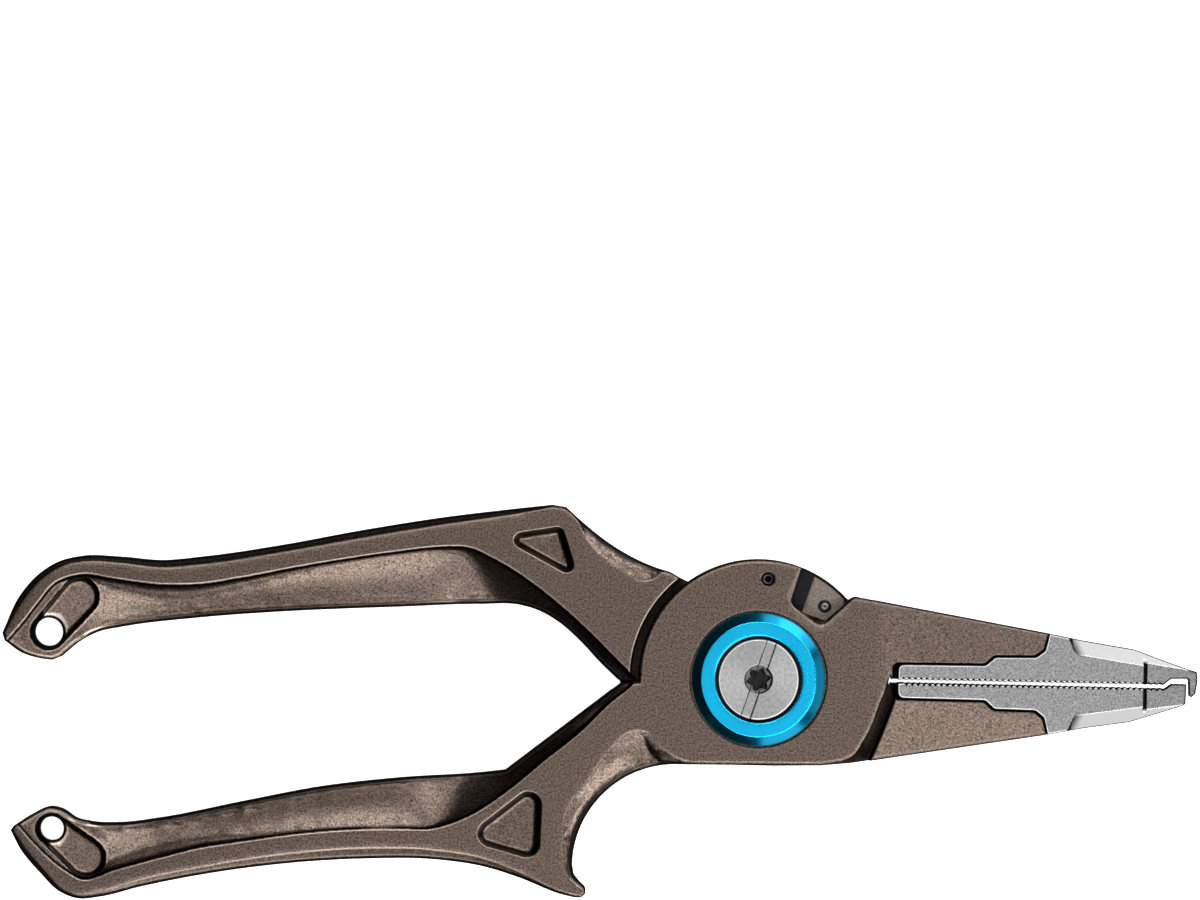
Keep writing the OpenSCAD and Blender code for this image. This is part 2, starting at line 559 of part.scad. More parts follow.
module upper_handle_frame()
  color(bronze)
    difference() {
      linear_extrude(height = body_t)
        polygon(rear_outline);
      cheek_room(rear_top, body_t + over);
      both_faces() {
        edge_cut(curve(stretched_rows(upper_grip), 3), roll, grip_drop);
        edge_cut(bevel_rows(upper_edge, -1), bevel, bevel_drop);
        edge_cut(curve(thumb_cut, 3), scoop, thumb_drop);
        leaning_pocket(upper_pocket, pocket_depth, 1.2);
        lanyard_pocket(upper_hole, upper_pocket_end, upper_lanyard_d / 2 + 0.2, 2.45);
      }
      translate([upper_hole[0], upper_hole[1], -over])
        cylinder(d = upper_lanyard_d, h = body_t + 2 * over);
      jaw_taper();
      below_line()
        arm_cuts();
      // Cutter pocket and the hole for its screw
      cutter_plate(0, 5.8, -3.5, 3.2, mid - shear_gap / 2 - cutter_t, mid + over, cutter_fit);
      at_cutter(rear_screw)
        translate([0, 0, 0.9])
          cylinder(d = 1.5, h = mid);
      // Flange recess, bush bore, washer recess and stop slot
      translate([0, 0, -over])
        cylinder(d = flange_d + 2 * flange_gap, h = flange_top + over);
      cylinder(d = bush_d + 0.04, h = body_t);
      translate([0, 0, bush_top])
        cylinder(d = thrust_d + 0.4, h = body_t);
      translate([0, 0, stop_low - 0.2])
        linear_extrude(height = body_t)
          polygon(stop_slot);
    }

module upper_jaw_insert()
  color(steel)
    above_line()
      difference() {
        union() {
          linear_extrude(height = body_t)
            polygon(upper_jaw_outline);
          jaw_tongue(0);
        }
        jaw_taper();
        both_faces()
          above_jaw_face(tip_x, tip_step);
        nose_edge_bevel();
        jaw_screw_holes();
      }

// Drawn above the jaw line and turned over, so its outline is the mirror image
module lower_jaw_insert()
  color(steel)
    below_line()
      difference() {
        union() {
          linear_extrude(height = body_t)
            polygon(lower_jaw_outline);
          jaw_tongue(0);
        }
        jaw_taper();
        both_faces()
          above_jaw_face(tip_x, tip_step);
        nose_edge_bevel();
        jaw_screw_holes();
      }

module upper_jaw_screws()
  color([0.3, 0.3, 0.32])
    above_line()
      jaw_screws();

module lower_jaw_screws()
  color([0.3, 0.3, 0.32])
    below_line()
      jaw_screws();

module pivot_ring()
  color([0.02, 0.55, 0.72])
    rotate_extrude($fn = 128)
      polygon([[ring_bore_d / 2, ring_floor], [ring_d / 2, ring_floor], [ring_d / 2, body_t],
        [ring_flat_d / 2, body_t + ring_proud], [ring_bore_d / 2 + 0.2, body_t + ring_proud],
        [ring_bore_d / 2, body_t + ring_proud - 0.2]]);

module pivot_bolt()
  color([0.72, 0.72, 0.72])
    difference() {
      rotate_extrude($fn = 96)
        polygon([[0, flange_top + 0.6], [bolt_d / 2 - 0.4, flange_top + 0.6], [bolt_d / 2, flange_top + 1],
          [bolt_d / 2, head_under], [bolt_head_d / 2, head_under], [bolt_head_d / 2, head_top - 0.25],
          [bolt_head_d / 2 - 0.25, head_top], [0, head_top]]);
      rotate([0, 0, 72])
        translate([-bolt_head_d, -bolt_slot_w / 2, head_top - 0.3])
          cube([2 * bolt_head_d, bolt_slot_w, 1]);
      translate([0, 0, head_top - 1.4])
        cylinder(r = socket_r, h = 2);
      for (a = [0:60:300])
        rotate([0, 0, a + 12])
          translate([socket_r, 0, head_top - 1.4])
            cylinder(r = 0.5, h = 2);
    }

module pivot_sleeve()
  color([0.62, 0.62, 0.63])
    difference() {
      rotate_extrude($fn = 96)
        polygon([[0, 0], [flange_d / 2 - 0.3, 0], [flange_d / 2, 0.3],
          [flange_d / 2, flange_top], [sleeve_d / 2, flange_top], [sleeve_d / 2, sleeve_top],
          [bolt_d / 2 + bolt_fit, sleeve_top], [bolt_d / 2 + bolt_fit, flange_top + 0.2],
          [0, flange_top + 0.2]]);
      // Two holes for a pin spanner
      for (a = [0, 180])
        rotate([0, 0, a])
          translate([spanner_r, 0, -over])
            cylinder(d = spanner_d, h = over + 1.2);
    }

module pivot_seal()
  color([0.05, 0.05, 0.05])
    translate([0, 0, ring_floor + spring_t + 0.02 + (ring_bore_d - bolt_head_d) / 4])
      rotate_extrude($fn = 96)
        translate([(ring_bore_d + bolt_head_d) / 4, 0])
          circle(r = (ring_bore_d - bolt_head_d) / 4 - 0.03, $fn = 24);

module spring_washer()
  color([0.35, 0.35, 0.36])
    rotate_extrude($fn = 96)
      polygon([[bolt_d / 2 + 0.2, ring_floor + spring_dish], [ring_bore_d / 2 - 0.3, ring_floor],
        [ring_bore_d / 2 - 0.3, ring_floor + spring_t],
        [bolt_d / 2 + 0.2, ring_floor + spring_dish + spring_t]]);

module thrust_washer()
  color([0.66, 0.5, 0.26])
    translate([0, 0, bush_top])
      difference() {
        cylinder(d = thrust_d, h = thrust_t, $fn = 96);
        translate([0, 0, -over])
          cylinder(d = sleeve_d + 0.4, h = thrust_t + 2 * over);
      }

module rear_bush()
  color([0.66, 0.5, 0.26])
    translate([0, 0, flange_top])
      difference() {
        cylinder(d = bush_d, h = bush_top - flange_top);
        translate([0, 0, -over])
          cylinder(d = sleeve_d + 2 * run_fit, h = body_t);
      }

module front_cutter()
  color([0.1, 0.1, 0.11])
    difference() {
      cutter_plate(-9, 0, -2.55, 2.7, mid + shear_gap / 2, mid + shear_gap / 2 + cutter_t, 0);
      at_cutter(front_screw)
        cylinder(d = 1.7, h = body_t);
    }

module rear_cutter()
  color([0.36, 0.33, 0.3])
    difference() {
      cutter_plate(0, 5.8, -3.5, 3.2, mid - shear_gap / 2 - cutter_t, mid - shear_gap / 2, 0);
      at_cutter(rear_screw) {
        cylinder(d = 1.5, h = body_t);
        translate([0, 0, mid - 0.95])
          cylinder(d = cutter_hole_d, h = body_t);
      }
    }

module front_cutter_screw()
  color([0.2, 0.2, 0.2])
    at_cutter(front_screw) {
      translate([0, 0, mid + shear_gap / 2 + 0.2])
        cylinder(d = 1.6, h = body_t - 2.2 - mid - shear_gap / 2 - 0.2);
      difference() {
        translate([0, 0, body_t - 2.2])
          cylinder(d = cutter_head_d, h = 1.3);
        translate([0, 0, body_t - 1.4])
          cylinder(d = 0.9, h = 1, $fn = 6);
      }
    }

module rear_cutter_screw()
  color([0.5, 0.5, 0.5])
    at_cutter(rear_screw) {
      translate([0, 0, 1.1])
        cylinder(d = 1.4, h = mid - 2.05);
      difference() {
        translate([0, 0, mid - 0.95])
          cylinder(d = cutter_head_d, h = 0.8);
        translate([0, 0, mid - 0.55])
          cylinder(d = 0.8, h = 1, $fn = 6);
      }
    }

module stop_pin()
  color([0.6, 0.6, 0.6])
    rotate([0, 0, stop_at])
      translate([stop_r, 0, stop_low])
        cylinder(d = stop_d, h = mid + stop_grip - stop_low);

lower_handle_frame();
upper_handle_frame();
upper_jaw_insert();
lower_jaw_insert();
upper_jaw_screws();
lower_jaw_screws();
pivot_ring();
pivot_bolt();
pivot_sleeve();
pivot_seal();
spring_washer();
thrust_washer();
rear_bush();
front_cutter();
rear_cutter();
front_cutter_screw();
rear_cutter_screw();
stop_pin();
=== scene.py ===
import math

import bpy
import numpy as np
from mathutils import Matrix, Vector, kdtree
from mathutils.geometry import delaunay_2d_cdt


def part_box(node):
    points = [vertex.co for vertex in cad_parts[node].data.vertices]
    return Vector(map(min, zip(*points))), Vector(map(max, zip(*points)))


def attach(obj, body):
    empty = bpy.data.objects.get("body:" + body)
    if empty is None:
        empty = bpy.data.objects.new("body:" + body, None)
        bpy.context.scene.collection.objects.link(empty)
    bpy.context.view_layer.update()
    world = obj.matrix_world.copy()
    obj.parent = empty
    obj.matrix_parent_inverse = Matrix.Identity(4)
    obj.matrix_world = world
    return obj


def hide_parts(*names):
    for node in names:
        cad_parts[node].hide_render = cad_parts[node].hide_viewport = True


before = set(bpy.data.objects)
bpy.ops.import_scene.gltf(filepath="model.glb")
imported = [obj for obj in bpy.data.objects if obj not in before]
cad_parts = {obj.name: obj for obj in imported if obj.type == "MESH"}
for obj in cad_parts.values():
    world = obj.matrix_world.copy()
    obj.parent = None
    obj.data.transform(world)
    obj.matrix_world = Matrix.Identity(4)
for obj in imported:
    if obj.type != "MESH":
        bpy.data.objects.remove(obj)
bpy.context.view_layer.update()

MM = 0.001
BODY_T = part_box("lower_handle_frame")[1].z / MM
RING_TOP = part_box("pivot_ring")[1].z / MM
RING_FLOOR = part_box("pivot_ring")[0].z / MM
RING_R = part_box("pivot_ring")[1].x / MM
BOLT_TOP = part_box("pivot_bolt")[1].z / MM
BOLT_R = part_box("pivot_bolt")[1].x / MM

# Spacing of points along edges, corners, slots and small circles, and of the filling points between them
EDGE_STEP = 0.5
CORNER_STEP = 0.25
SLOT_STEP = 0.3
SMALL_STEP = 0.2
FILL_STEP = 0.85
# Clear space around drawn points and distance of the rows of filling points, as shares of their spacing
FILL_CLEAR = 0.45
FILL_ROWS = 0.866
# Points closer than this are one point
SAME_POINT = 0.02
# Points that are measured against a line at one time
BATCH = 1500
# Rounds of evening out the sculpted areas, and what each takes from the neighbours
SMOOTHING = 30
NEIGHBOUR_SHARE = 0.6
# Evening out keeps away from a hollow's line and from the part's edge
LINE_MARGIN = 0.3
EDGE_MARGIN = 0.2
# Rows of mesh points beside the line of a grip or scallop, inside the rim of a plate and around its holes
GRIP_ROWS = (-0.3, -0.13, 0, 0.13, 0.3, 0.5, 0.75)
SCOOP_ROWS = (-0.25, -0.1, 0, 0.12, 0.3)
RIM_ROWS = (0.06, 0.2, 0.42, 0.7, 1.0, 1.25, 1.5)
HOLE_ROWS = (0.06, 0.25, 0.6, 1.0)

# Pivot, cheeks and the room that each half leaves for the other half's cheek
PIVOT = np.zeros(2)
CHEEK_R = 19.1
CHEEK_DROP = 13.8
SHOULDER_R = 20.4
CHEEK_LEVEL = (BODY_T - 0.3) / 2
CHEEK_FOOT_X = 10.1
CHOIL_R = 16.5
CHOIL_C = np.array([-12.5, -CHEEK_DROP - CHOIL_R])

# Edge of a cheek towards its own jaw, and edge of the other half's arm behind it, both below the jaw line
CHEEK_FRONT = [(13.2, -12.95), (15.2, -12.05), (17.15, -9.25), (18.15, -7.3), (19.45, -3.6),
               (20.4, -1.2), (20.85, 1.0)]
ARM_EDGE = [(15.8, -18), (18.2, -12.2), (20.1, -7.4), (21.6, -3.1), (22.4, 0)]

# Depths below the flat faces
UPPER_GRIP_DROP = 2.8
LOWER_GRIP_DROP = 2.5
BEVEL_DROP = 1.2
THUMB_DROP = 2.1
CHOIL_DROP = 2.8
POCKET_DEPTH = 2.2
LANYARD_DEPTH = 2.6
# Shape of each hollow from its line to the edge: share of an even slope, and power of the roll-off
GRIP_CURVE = (0.35, 2)
THUMB_CURVE = (0.55, 4)
CHOIL_CURVE = (0.3, 2)
# Power of the cove at a grip's line: 1 would be a straight slope
COVE_POWER = 1.7
# Rounding of the outer edges and of the edges of recesses, and of an edge that is cut deeper than a share
RIM_R = 0.55
LIP_R = 0.2
DEEP_SHARE = 0.38
DEEP_RIM_R = 0.08
# Blend of a grip and of a scallop into the flat face, and the scallop's slope there
GRIP_BLEND = 0.2
SCOOP_BLEND = 0.15
SCOOP_START = 0.6
# Slope of the upper grip where it ends at the other half's cheek
CHEEK_END_SLOPE = 2.5
# Strength of the wear and painted highlight at grips, scallops, bevels, pockets and edges, and at a frame's
# edges beside flat faces
GRIP_WEAR_AND_HIGHLIGHT = 0.35
SCOOP_WEAR_AND_HIGHLIGHT = 0.05
BEVEL_WEAR_AND_HIGHLIGHT = 0.15
POCKET_WEAR_AND_HIGHLIGHT = 0.25
EDGE_WEAR_AND_HIGHLIGHT = 0.8
FLAT_EDGE_WEAR_AND_HIGHLIGHT = 0.1
# Width of the painted shade line along the outer edges, and of the one around the floor of each kind of
# pocket
RIM_DARK = 0.18
POCKET_LINE = 0.75
LANYARD_LINE = 0.62

# Upper handle: outer edge with the width of its bevel and a share of its depth, thumb hollow, inner edge, end
UPPER_OUTER = [(-120.4, 4.8, 0.5, 0.1), (-117.7, 10.9, 1, 0.5), (-114.6, 14.5, 1, 0.7),
               (-111.4, 16.5, 1, 0.7), (-108.2, 17.3, 1, 0.7), (-102, 17.3, 1, 0.8),
               (-95.5, 16.9, 1.2, 1), (-89, 17.6, 1.3, 1), (-76.5, 19.7, 1.2, 1), (-63.9, 22.3, 1.3, 1),
               (-51.2, 24.6, 1.2, 1), (-38.5, 26.4, 0.8, 0.7), (-33.4, 27.05, 0.4, 0.3)]
UPPER_THUMB = [(-31.2, 26.75), (-28.9, 24.75), (-25.7, 22.2), (-22.5, 20.1), (-19.3, 18.45),
               (-16.5, 17.35), (-14, 16.55), (-12.9, 15.9)]
UPPER_INNER = [(-22.3, -0.55), (-25.3, 2.2), (-28.5, 5.5), (-31.8, 8.3), (-35, 10.1), (-38.2, 11),
               (-44.5, 11), (-57.2, 10.3), (-76.3, 9.1), (-89, 7.9), (-101.7, 6.1), (-104.8, 5.4),
               (-108, 3.8), (-111.1, 1.2)]
UPPER_END = [(-112.4, 0.65), (-114.5, 0.9), (-117.3, 1.75), (-120, 3.6)]
# Lower handle in the same order, with the hook ahead of the finger choil
LOWER_OUTER = [(-118.4, -26.5, 0.5, 0.1), (-116.8, -29.5, 0.8, 0.4), (-113.6, -33.2, 0.8, 0.5),
               (-110.3, -36.2, 0.7, 0.3), (-107.6, -37.16, 0.7, 0.3), (-103.9, -36.8, 0.8, 0.35),
               (-97.6, -35.1, 1.1, 0.45), (-88.1, -33, 1.2, 0.45), (-75.4, -31, 1.5, 0.5),
               (-62.7, -29.9, 1.7, 0.55), (-50, -29.8, 1.5, 0.5), (-43.6, -30.6, 1.3, 0.45),
               (-37.2, -32.4, 0.8, 0.35), (-30.8, -34.8, 0.4, 0.2), (-28.6, -35.3, 0.3, 0.2)]
LOWER_HOOK = [(-27.6, -35.3), (-26.8, -34.7), (-26.8, -34), (-27.8, -32.9), (-28.7, -31.8)]
LOWER_ROOT = (-21.6, -0.8)
# Tongue of the upper half that laps under the root of the lower handle, and the room for it
ROOT_TONGUE = [(-22.05, -0.75), (-21.9, -1.35), (-19.05, -1.4)]
ROOT_TOP = [(-23, -0.5), (-23, -2.2), (-18.5, -2.2), (-18.5, -0.5)]
ROOT_ROOM = [(-23.2, 0.5), (-23.2, -2.1), (-18.5, -2.1), (-18.5, 0.5)]
LOWER_INNER = [(-40, -15.3), (-44, -15.8), (-56.7, -16.9), (-69.3, -18.6), (-82, -21.3), (-94.7, -24.1),
               (-101, -25), (-105.3, -25), (-108, -24.5), (-110.3, -23.1), (-112, -22.7),
               (-115.3, -24.05), (-117.9, -25.8)]
# Jaw arm above the jaw line: seat of the steel jaw, then the web under it and the outer edge to the cheek
JAW_LINE = 0.2
SEAT = [(21.2, -1), (21.3, 3), (35.9, 3.1), (37.4, 4.45), (43.9, 4.55), (45.3, 5.6), (45.95, 8.1),
        (46.2, 9.2)]
SEAT_R = 1.0
SEAT_DEPTH = 4.8
ARM = [(21.1, 0.3), (46.8, 0.3), (46.8, 7.4), (45.95, 8.1), (15.05, 13.3)]
TAPER_X = 19.2
TAPER = 3.1 / 42.1
ARM_LEAN = 0.06
LOWER_TAPER_X = 14.5
ARM_END_X = 46
LOWER_TAPER = TAPER * (ARM_END_X - TAPER_X) / (ARM_END_X - LOWER_TAPER_X)
# Steel jaw above the jaw line: back along the seat, then each jaw's nose and tip
JAW_BACK = [(46.16, 8.05), (45.51, 5.3), (44.11, 4.25), (37.61, 4.15), (36.11, 2.8), (22.15, 2.7),
            (22.15, 0.3)]
UPPER_NOSE = [(46.16, 8.05), (51.7, 7.05), (59.9, 5.8), (65, 4), (68.8, 2.75), (69.85, 2.45)]
LOWER_NOSE = [(46.16, 8.05), (51.9, 6.95), (59.3, 5.8), (65.7, 3.7), (67.7, 3), (68.15, 2.7)]
UPPER_TIP = [(70, 1.1), (69.7, -1), (69, -1.65), (68.6, -1.35), (68.5, 1.1), (68.3, 1.3), (65.8, 1.25)]
LOWER_TIP = [(68.2, -0.45), (65.8, -0.45)]
JAW_GAP = 0.42
TOOTH_PITCH = 0.93
TOOTH_DEPTH = 0.12
TOOTH_GAP = 0.55
TOOTH_FROM = 22.6
TOOTH_TO = 65.3
TIP_X = 61.3
TIP_STEP = 0.5
NOSE_BEVEL_FROM = (50.4, 4.9)
NOSE_BEVEL_TURN = math.radians(-8.6)
NOSE_BEVEL_RUN = 2.0
NOSE_BEVEL_SLANT = 0.65
JAW_RIM_R = 0.22
JAW_HEEL_R = 1.0
# Strength of the painted highlight along the steel jaws' rounded edges
JAW_WEAR_AND_HIGHLIGHT = 0.9
# Groove at the foot of the tip's step
GROOVE_W = 0.55
GROOVE_DEPTH = 0.25
TOOTH_GAP_DEPTH = 2.5

# Lines where the grips and scallops leave the flat face: place and share of the drop, and for a grip the
# height and the width of the cove at its foot
UPPER_GRIP = [(-121.4, 1.7, 0.15, 0.2, 0.4), (-119.3, 4.1, 0.25, 0.3, 0.4),
              (-117.5, 6.2, 0.35, 0.5, 0.5), (-114.9, 9.7, 0.45, 0.6, 0.5), (-112, 13.1, 0.5, 0.7, 0.6),
              (-108.2, 14.4, 0.6, 0.8, 0.9), (-102.4, 13.8, 0.9, 0.95, 1.6), (-95.5, 13.1, 1, 1, 2.0),
              (-89.1, 13.3, 1, 0.9, 1.8), (-82.8, 14.4, 1, 0.75, 1.3), (-73.3, 16.4, 1, 0.5, 0.7),
              (-65.3, 17.9, 1, 0.45, 0.5), (-57.4, 19.2, 1.05, 0.5, 0.5), (-51.1, 20, 1.15, 0.65, 0.6),
              (-47.2, 20.1, 1.25, 1, 1.2), (-42.6, 18.4, 1.35, 2, 4.5), (-36.7, 14.9, 1.3, 2.5, 7),
              (-31.8, 11.2, 1.15, 2.4, 6.5), (-27, 7, 0.9, 1.9, 3.6), (-21.3, 1.5, 0.65, 1.1, 1),
              (-17.5, -2, 0.6, 0.5, 0.5)]
LOWER_GRIP = [(-118.6, -24.3, 0.15, 0.2, 0.4), (-117.1, -25.9, 0.25, 0.3, 0.4),
              (-114.3, -28.9, 0.35, 0.5, 0.5), (-110, -32.5, 0.45, 0.7, 0.6),
              (-107, -34.1, 0.55, 0.85, 0.9), (-101.6, -32.5, 0.9, 1, 1.8), (-94.5, -30.4, 1, 1, 2.2),
              (-88.2, -28.7, 1, 0.8, 1.7), (-81.9, -27.6, 1, 0.55, 1), (-72.4, -26.1, 1, 0.25, 0.5),
              (-64.4, -25.3, 1.05, 0.15, 0.4), (-56.5, -25, 1.15, 0.15, 0.4),
              (-51.7, -24.9, 1.3, 0.5, 0.6), (-48.2, -23.9, 1.4, 1.6, 2.8),
              (-43.6, -21.6, 1.5, 2.4, 6.5), (-39.1, -18.3, 1.4, 2.4, 6.5),
              (-34.4, -14.2, 1.1, 1.9, 3.4), (-28.2, -9, 0.7, 0.9, 0.8), (-23, -3.8, 0.45, 0.35, 0.4),
              (-20.5, -1.8, 0.4, 0.3, 0.4), (-18.6, 0.4, 0.3, 0.2, 0.4)]
THUMB_LINE = [(-32.4, 26.8, 0.1), (-30.6, 25.9, 0.6), (-29.1, 24.3, 1), (-28.35, 22.6, 1),
              (-27.3, 20.95, 1), (-25.7, 19.25, 1), (-23.1, 17.45, 1), (-20.9, 16.2, 1), (-19, 15.3, 1),
              (-17.6, 15.45, 0.9), (-16.3, 16.2, 0.5), (-15.2, 17.2, 0.1)]
CHOIL_LINE = [(-27.6, -34.9, 0.05), (-29.3, -33.6, 0.2), (-29.85, -31.9, 0.35), (-30.45, -29.1, 0.55),
              (-30.5, -26.3, 0.75), (-30.15, -21.8, 0.85), (-29.1, -19.8, 0.85), (-28.05, -18.55, 0.85),
              (-24, -12.5, 0.95), (-20.6, -9, 1), (-19.2, -8.6, 1), (-17.4, -8.9, 0.95),
              (-15.6, -10.8, 0.7), (-12.8, -12.7, 0.35), (-10, -13.5, 0.05)]
# Rough paths outside the part that close each of these areas
UPPER_GRIP_SIDE = [(-17, -8), (-60, 2), (-108, -6), (-124, -1)]
LOWER_GRIP_SIDE = [(-20, 3), (-60, -8), (-108, -18), (-121, -22)]
THUMB_SIDE = [(-14, 21), (-28, 31)]
CHOIL_SIDE = [(-9, -18), (-20, -26), (-24, -35)]

# Three-cornered pockets, and lanyard pockets as centre and radius of both ends, all at the face
UPPER_POCKET = [(-41.8, 21.9), (-28.9, 15.15), (-31.75, 23.65)]
LOWER_POCKET = [(-46.5, -26.4), (-34.3, -29.6), (-34, -16.3)]
UPPER_POCKET_R = 1.2
LOWER_POCKET_R = 2.1
POCKET_LEAN = 1.15
UPPER_HOLE = np.array([-113.1, 5.1])
UPPER_HOLE_R = 2.25
UPPER_LANYARD = [UPPER_HOLE, 2.95, np.array([-108.2, 10.8]), 3.2]
LOWER_HOLE = np.array([-111.95, -26.2])
LOWER_HOLE_R = 1.9
LOWER_LANYARD = [LOWER_HOLE, 2.6, np.array([-106.3, -30.6]), 3.2]
LANYARD_LEAN = 0.9
LANYARD_TILT = 0.09

# Cutters: window in the front cheek and pockets of the two plates, in the axes of the cutting edge
CUT_MID = (CHEEK_R - 3) * np.array([math.cos(math.radians(61)), math.sin(math.radians(61))])
CUT_TURN = math.radians(71.1 - 90)
WINDOW = [(-0.6, 5.6), (-2.9, -1.9), (1.85, -5.3), (6.9, -0.6), (9.7, 2.9), (4.2, 7.9)]
WINDOW_R = 1.6
FRONT_PLATE = [(-9.1, -2.65), (1.1, -2.65), (1.1, 2.8), (-9.1, 2.8)]
REAR_PLATE = [(-0.1, -3.6), (5.9, -3.6), (5.9, 3.3), (-0.1, 3.3)]
FRONT_SCREW = (-6.9, -0.35)
# Steps around a turned piece
TURNS = 192
# Pivot: flat and bore of the ring, and the bolt head with its slot and six-lobed socket
RING_FLAT_R = 9.15
RING_BORE_R = 6.9
BOLT_UNDER = 11.3
BOLT_SLOT_W = 1.7
BOLT_SLOT_TURN = math.radians(72)
SOCKET_R = 1.65
SOCKET_LOBE = 0.3
BOLT_RIM_R = 0.25
BOLT_SLOT_DEPTH = 0.2
BOLT_SLOT_REACH = 9
SOCKET_STEPS = 72
SOCKET_TURN = math.radians(12)
SOCKET_DEPTH = 1.4
COUNTERSINK_R = 2.25
COUNTERSINK_DEPTH = 0.3
# Hidden bores and rooms: radius, and depth or height of the floor
SLEEVE_BORE_R = 4.82
BUSH_BORE_R = 6.02
WASHER_ROOM_R, WASHER_ROOM_FLOOR = 9.2, 5.35
FLANGE_ROOM_R, FLANGE_ROOM_DEPTH = 7.75, 2
FRONT_PLATE_DEPTH = 8.43
REAR_PLATE_FLOOR = 3.57
FRONT_SCREW_R, FRONT_SCREW_DEPTH = 1.1, 2.2
JAW_SCREWS = [(28, 6), (34.2, 6)]
JAW_SCREW_R, JAW_SCREW_DEPTH = 1.9, 3.3
# Stop pin's hole and its arc slot
STOP_R = 11.2
STOP_FROM, STOP_TO = 213, 248.6
STOP_SLOT_HALF_W, STOP_SLOT_FLOOR = 1.5, 2.6
STOP_PIN_AT = 215
STOP_PIN_R, STOP_PIN_DEPTH = 1.26, 9.2
# Degrees around the pivot where a cheek's edge meets its arm, the thumb hollow and the handles' roots
ARM_TURN = 43
THUMB_TURN = 127
LOWER_ROOT_TURN = 182.4
UPPER_ROOT_TURN = 184.2
# Heads of the cutter screws as radius and height above the top, and their painted shade at some radii
AXIS = 0.02
SCREW_CORNER_R = 0.03
FRONT_HEAD = [(0.95, 0), (0.5, 0), (0.4, -0.6), (AXIS, -0.6)]
FRONT_SHADES = ((0, 1), (0.42, 1), (0.5, 0.5), (0.7, 0.5), (0.8, 1))
REAR_HEAD = [(1.22, 0.13), (0.96, 0), (0.93, -0.1), (0.68, -0.1), (0.62, 0), (AXIS, 0)]
REAR_SHADES = ((0, 0), (0.6, 0), (0.68, 1), (0.93, 1), (1.0, 0))


# Curves and areas in the plane of the pliers

def stepped(points, step=EDGE_STEP):
    """Straight stretches between points, cut into steps."""
    points = np.array(points, float)
    rows = [points[:1]]
    for a, b in zip(points[:-1], points[1:]):
        count = max(1, math.ceil(np.linalg.norm((b - a)[:2]) / step))
        rows.append(a + (b - a) * np.arange(1, count + 1)[:, None] / count)
    return np.vstack(rows)


def spline(points, step=EDGE_STEP):
    """Smooth curve through points, which may carry more columns than x and y."""
    points = np.array(points, float)
    span = np.diff(points, axis=0)
    length = np.linalg.norm(span, axis=1)[:, None]
    way = span / length
    before, after = length[:-1], length[1:]
    inner = (way[:-1] * after + way[1:] * before) / (before + after)
    slope = np.vstack([way[:1], inner, way[-1:]])
    rows = [points[:1]]
    for i, d in enumerate(length[:, 0]):
        count = max(2, math.ceil(d / step))
        t = np.arange(1, count + 1)[:, None] / count
        rows.append(points[i] * (2 * t**3 - 3 * t**2 + 1) + slope[i] * d * (t**3 - 2 * t**2 + t)
                    + points[i + 1] * (3 * t**2 - 2 * t**3) + slope[i + 1] * d * (t**3 - t**2))
    return np.vstack(rows)


def arc(centre, radius, start, stop, step=EDGE_STEP):
    count = max(6, math.ceil(math.radians(abs(stop - start)) * radius / step))
    turn = np.radians(np.linspace(start, stop, count + 1))
    return np.array(centre) + radius * np.column_stack([np.cos(turn), np.sin(turn)])


def circle(centre, radius, step=EDGE_STEP):
    return arc(centre, radius, 0, 360, step)[:-1]


def corner_arcs(corners, radius):
    """Arcs that round the corners between the first and the last point of a line."""
    lines = []
    for before, corner, after in zip(corners[:-2], corners[1:-1], corners[2:]):
        u = (before - corner) / np.linalg.norm(before - corner)
        v = (after - corner) / np.linalg.norm(after - corner)
        half = math.acos(np.clip(u @ v, -1, 1)) / 2
        middle = corner + (u + v) / np.linalg.norm(u + v) * radius / math.sin(half)
        first = corner + u * radius / math.tan(half) - middle
        last = corner + v * radius / math.tan(half) - middle
        start, stop = math.atan2(first[1], first[0]), math.atan2(last[1], last[0])
        stop += 2 * math.pi * round((start - stop) / (2 * math.pi))
        lines.append(arc(middle, radius, math.degrees(start), math.degrees(stop), CORNER_STEP))
    return lines


def rounded(corners, radius):
    """Closed outline through corners, each rounded with a radius."""
    corners = np.array(corners, float)
    return loop(*corner_arcs(np.vstack([corners[-1:], corners, corners[:1]]), radius))


def eased(corners, radius):
    """Open line through corners, all but its ends rounded with a radius."""
    corners = np.array(corners, float)
    return np.vstack([corners[:1], *corner_arcs(corners, radius), corners[-1:]])


def lifted(points):
    """From heights above the jaw line to the axes of the pliers."""
    return [(x, y + JAW_LINE) for x, y in points]


def loop(*lines):
    """Closed outline from lines in turn, in even steps and without doubled points."""
    points = np.vstack([np.array(line, float)[:, :2] for line in lines])
    points = stepped(np.vstack([points, points[:1]]))
    keep = np.linalg.norm(np.diff(points, axis=0), axis=1) > SAME_POINT
    return points[:-1][keep]


def flipped(points):
    """From heights below the jaw line to the axes of the pliers, and run backwards."""
    return [(x, JAW_LINE - y) for x, y in points[::-1]]


def at_cut(points):
    """From the axes of the cutting edge to the axes of the pliers."""
    c, s = math.cos(CUT_TURN), math.sin(CUT_TURN)
    return np.array(points, float) @ np.array([[c, s], [-s, c]]) + CUT_MID


def beside(line, gap, closed):
    """The line moved to its left by a gap, which may change along it."""
    if closed:
        before, after = line - np.roll(line, 1, 0), np.roll(line, -1, 0) - line
    else:
        span = np.diff(line, axis=0)
        before, after = np.vstack([span[:1], span]), np.vstack([span, span[-1:]])
    before = before / np.linalg.norm(before, axis=1)[:, None]
    after = after / np.linalg.norm(after, axis=1)[:, None]
    left = np.column_stack([-(before + after)[:, 1], (before + after)[:, 0]])
    left /= np.maximum(np.linalg.norm(left, axis=1), 1e-6)[:, None]
    lean = np.clip(left[:, 1] * after[:, 0] - left[:, 0] * after[:, 1], 0.4, 1)
    return line + left * (gap / lean)[:, None] if np.ndim(gap) else line + left * (gap / lean[:, None])


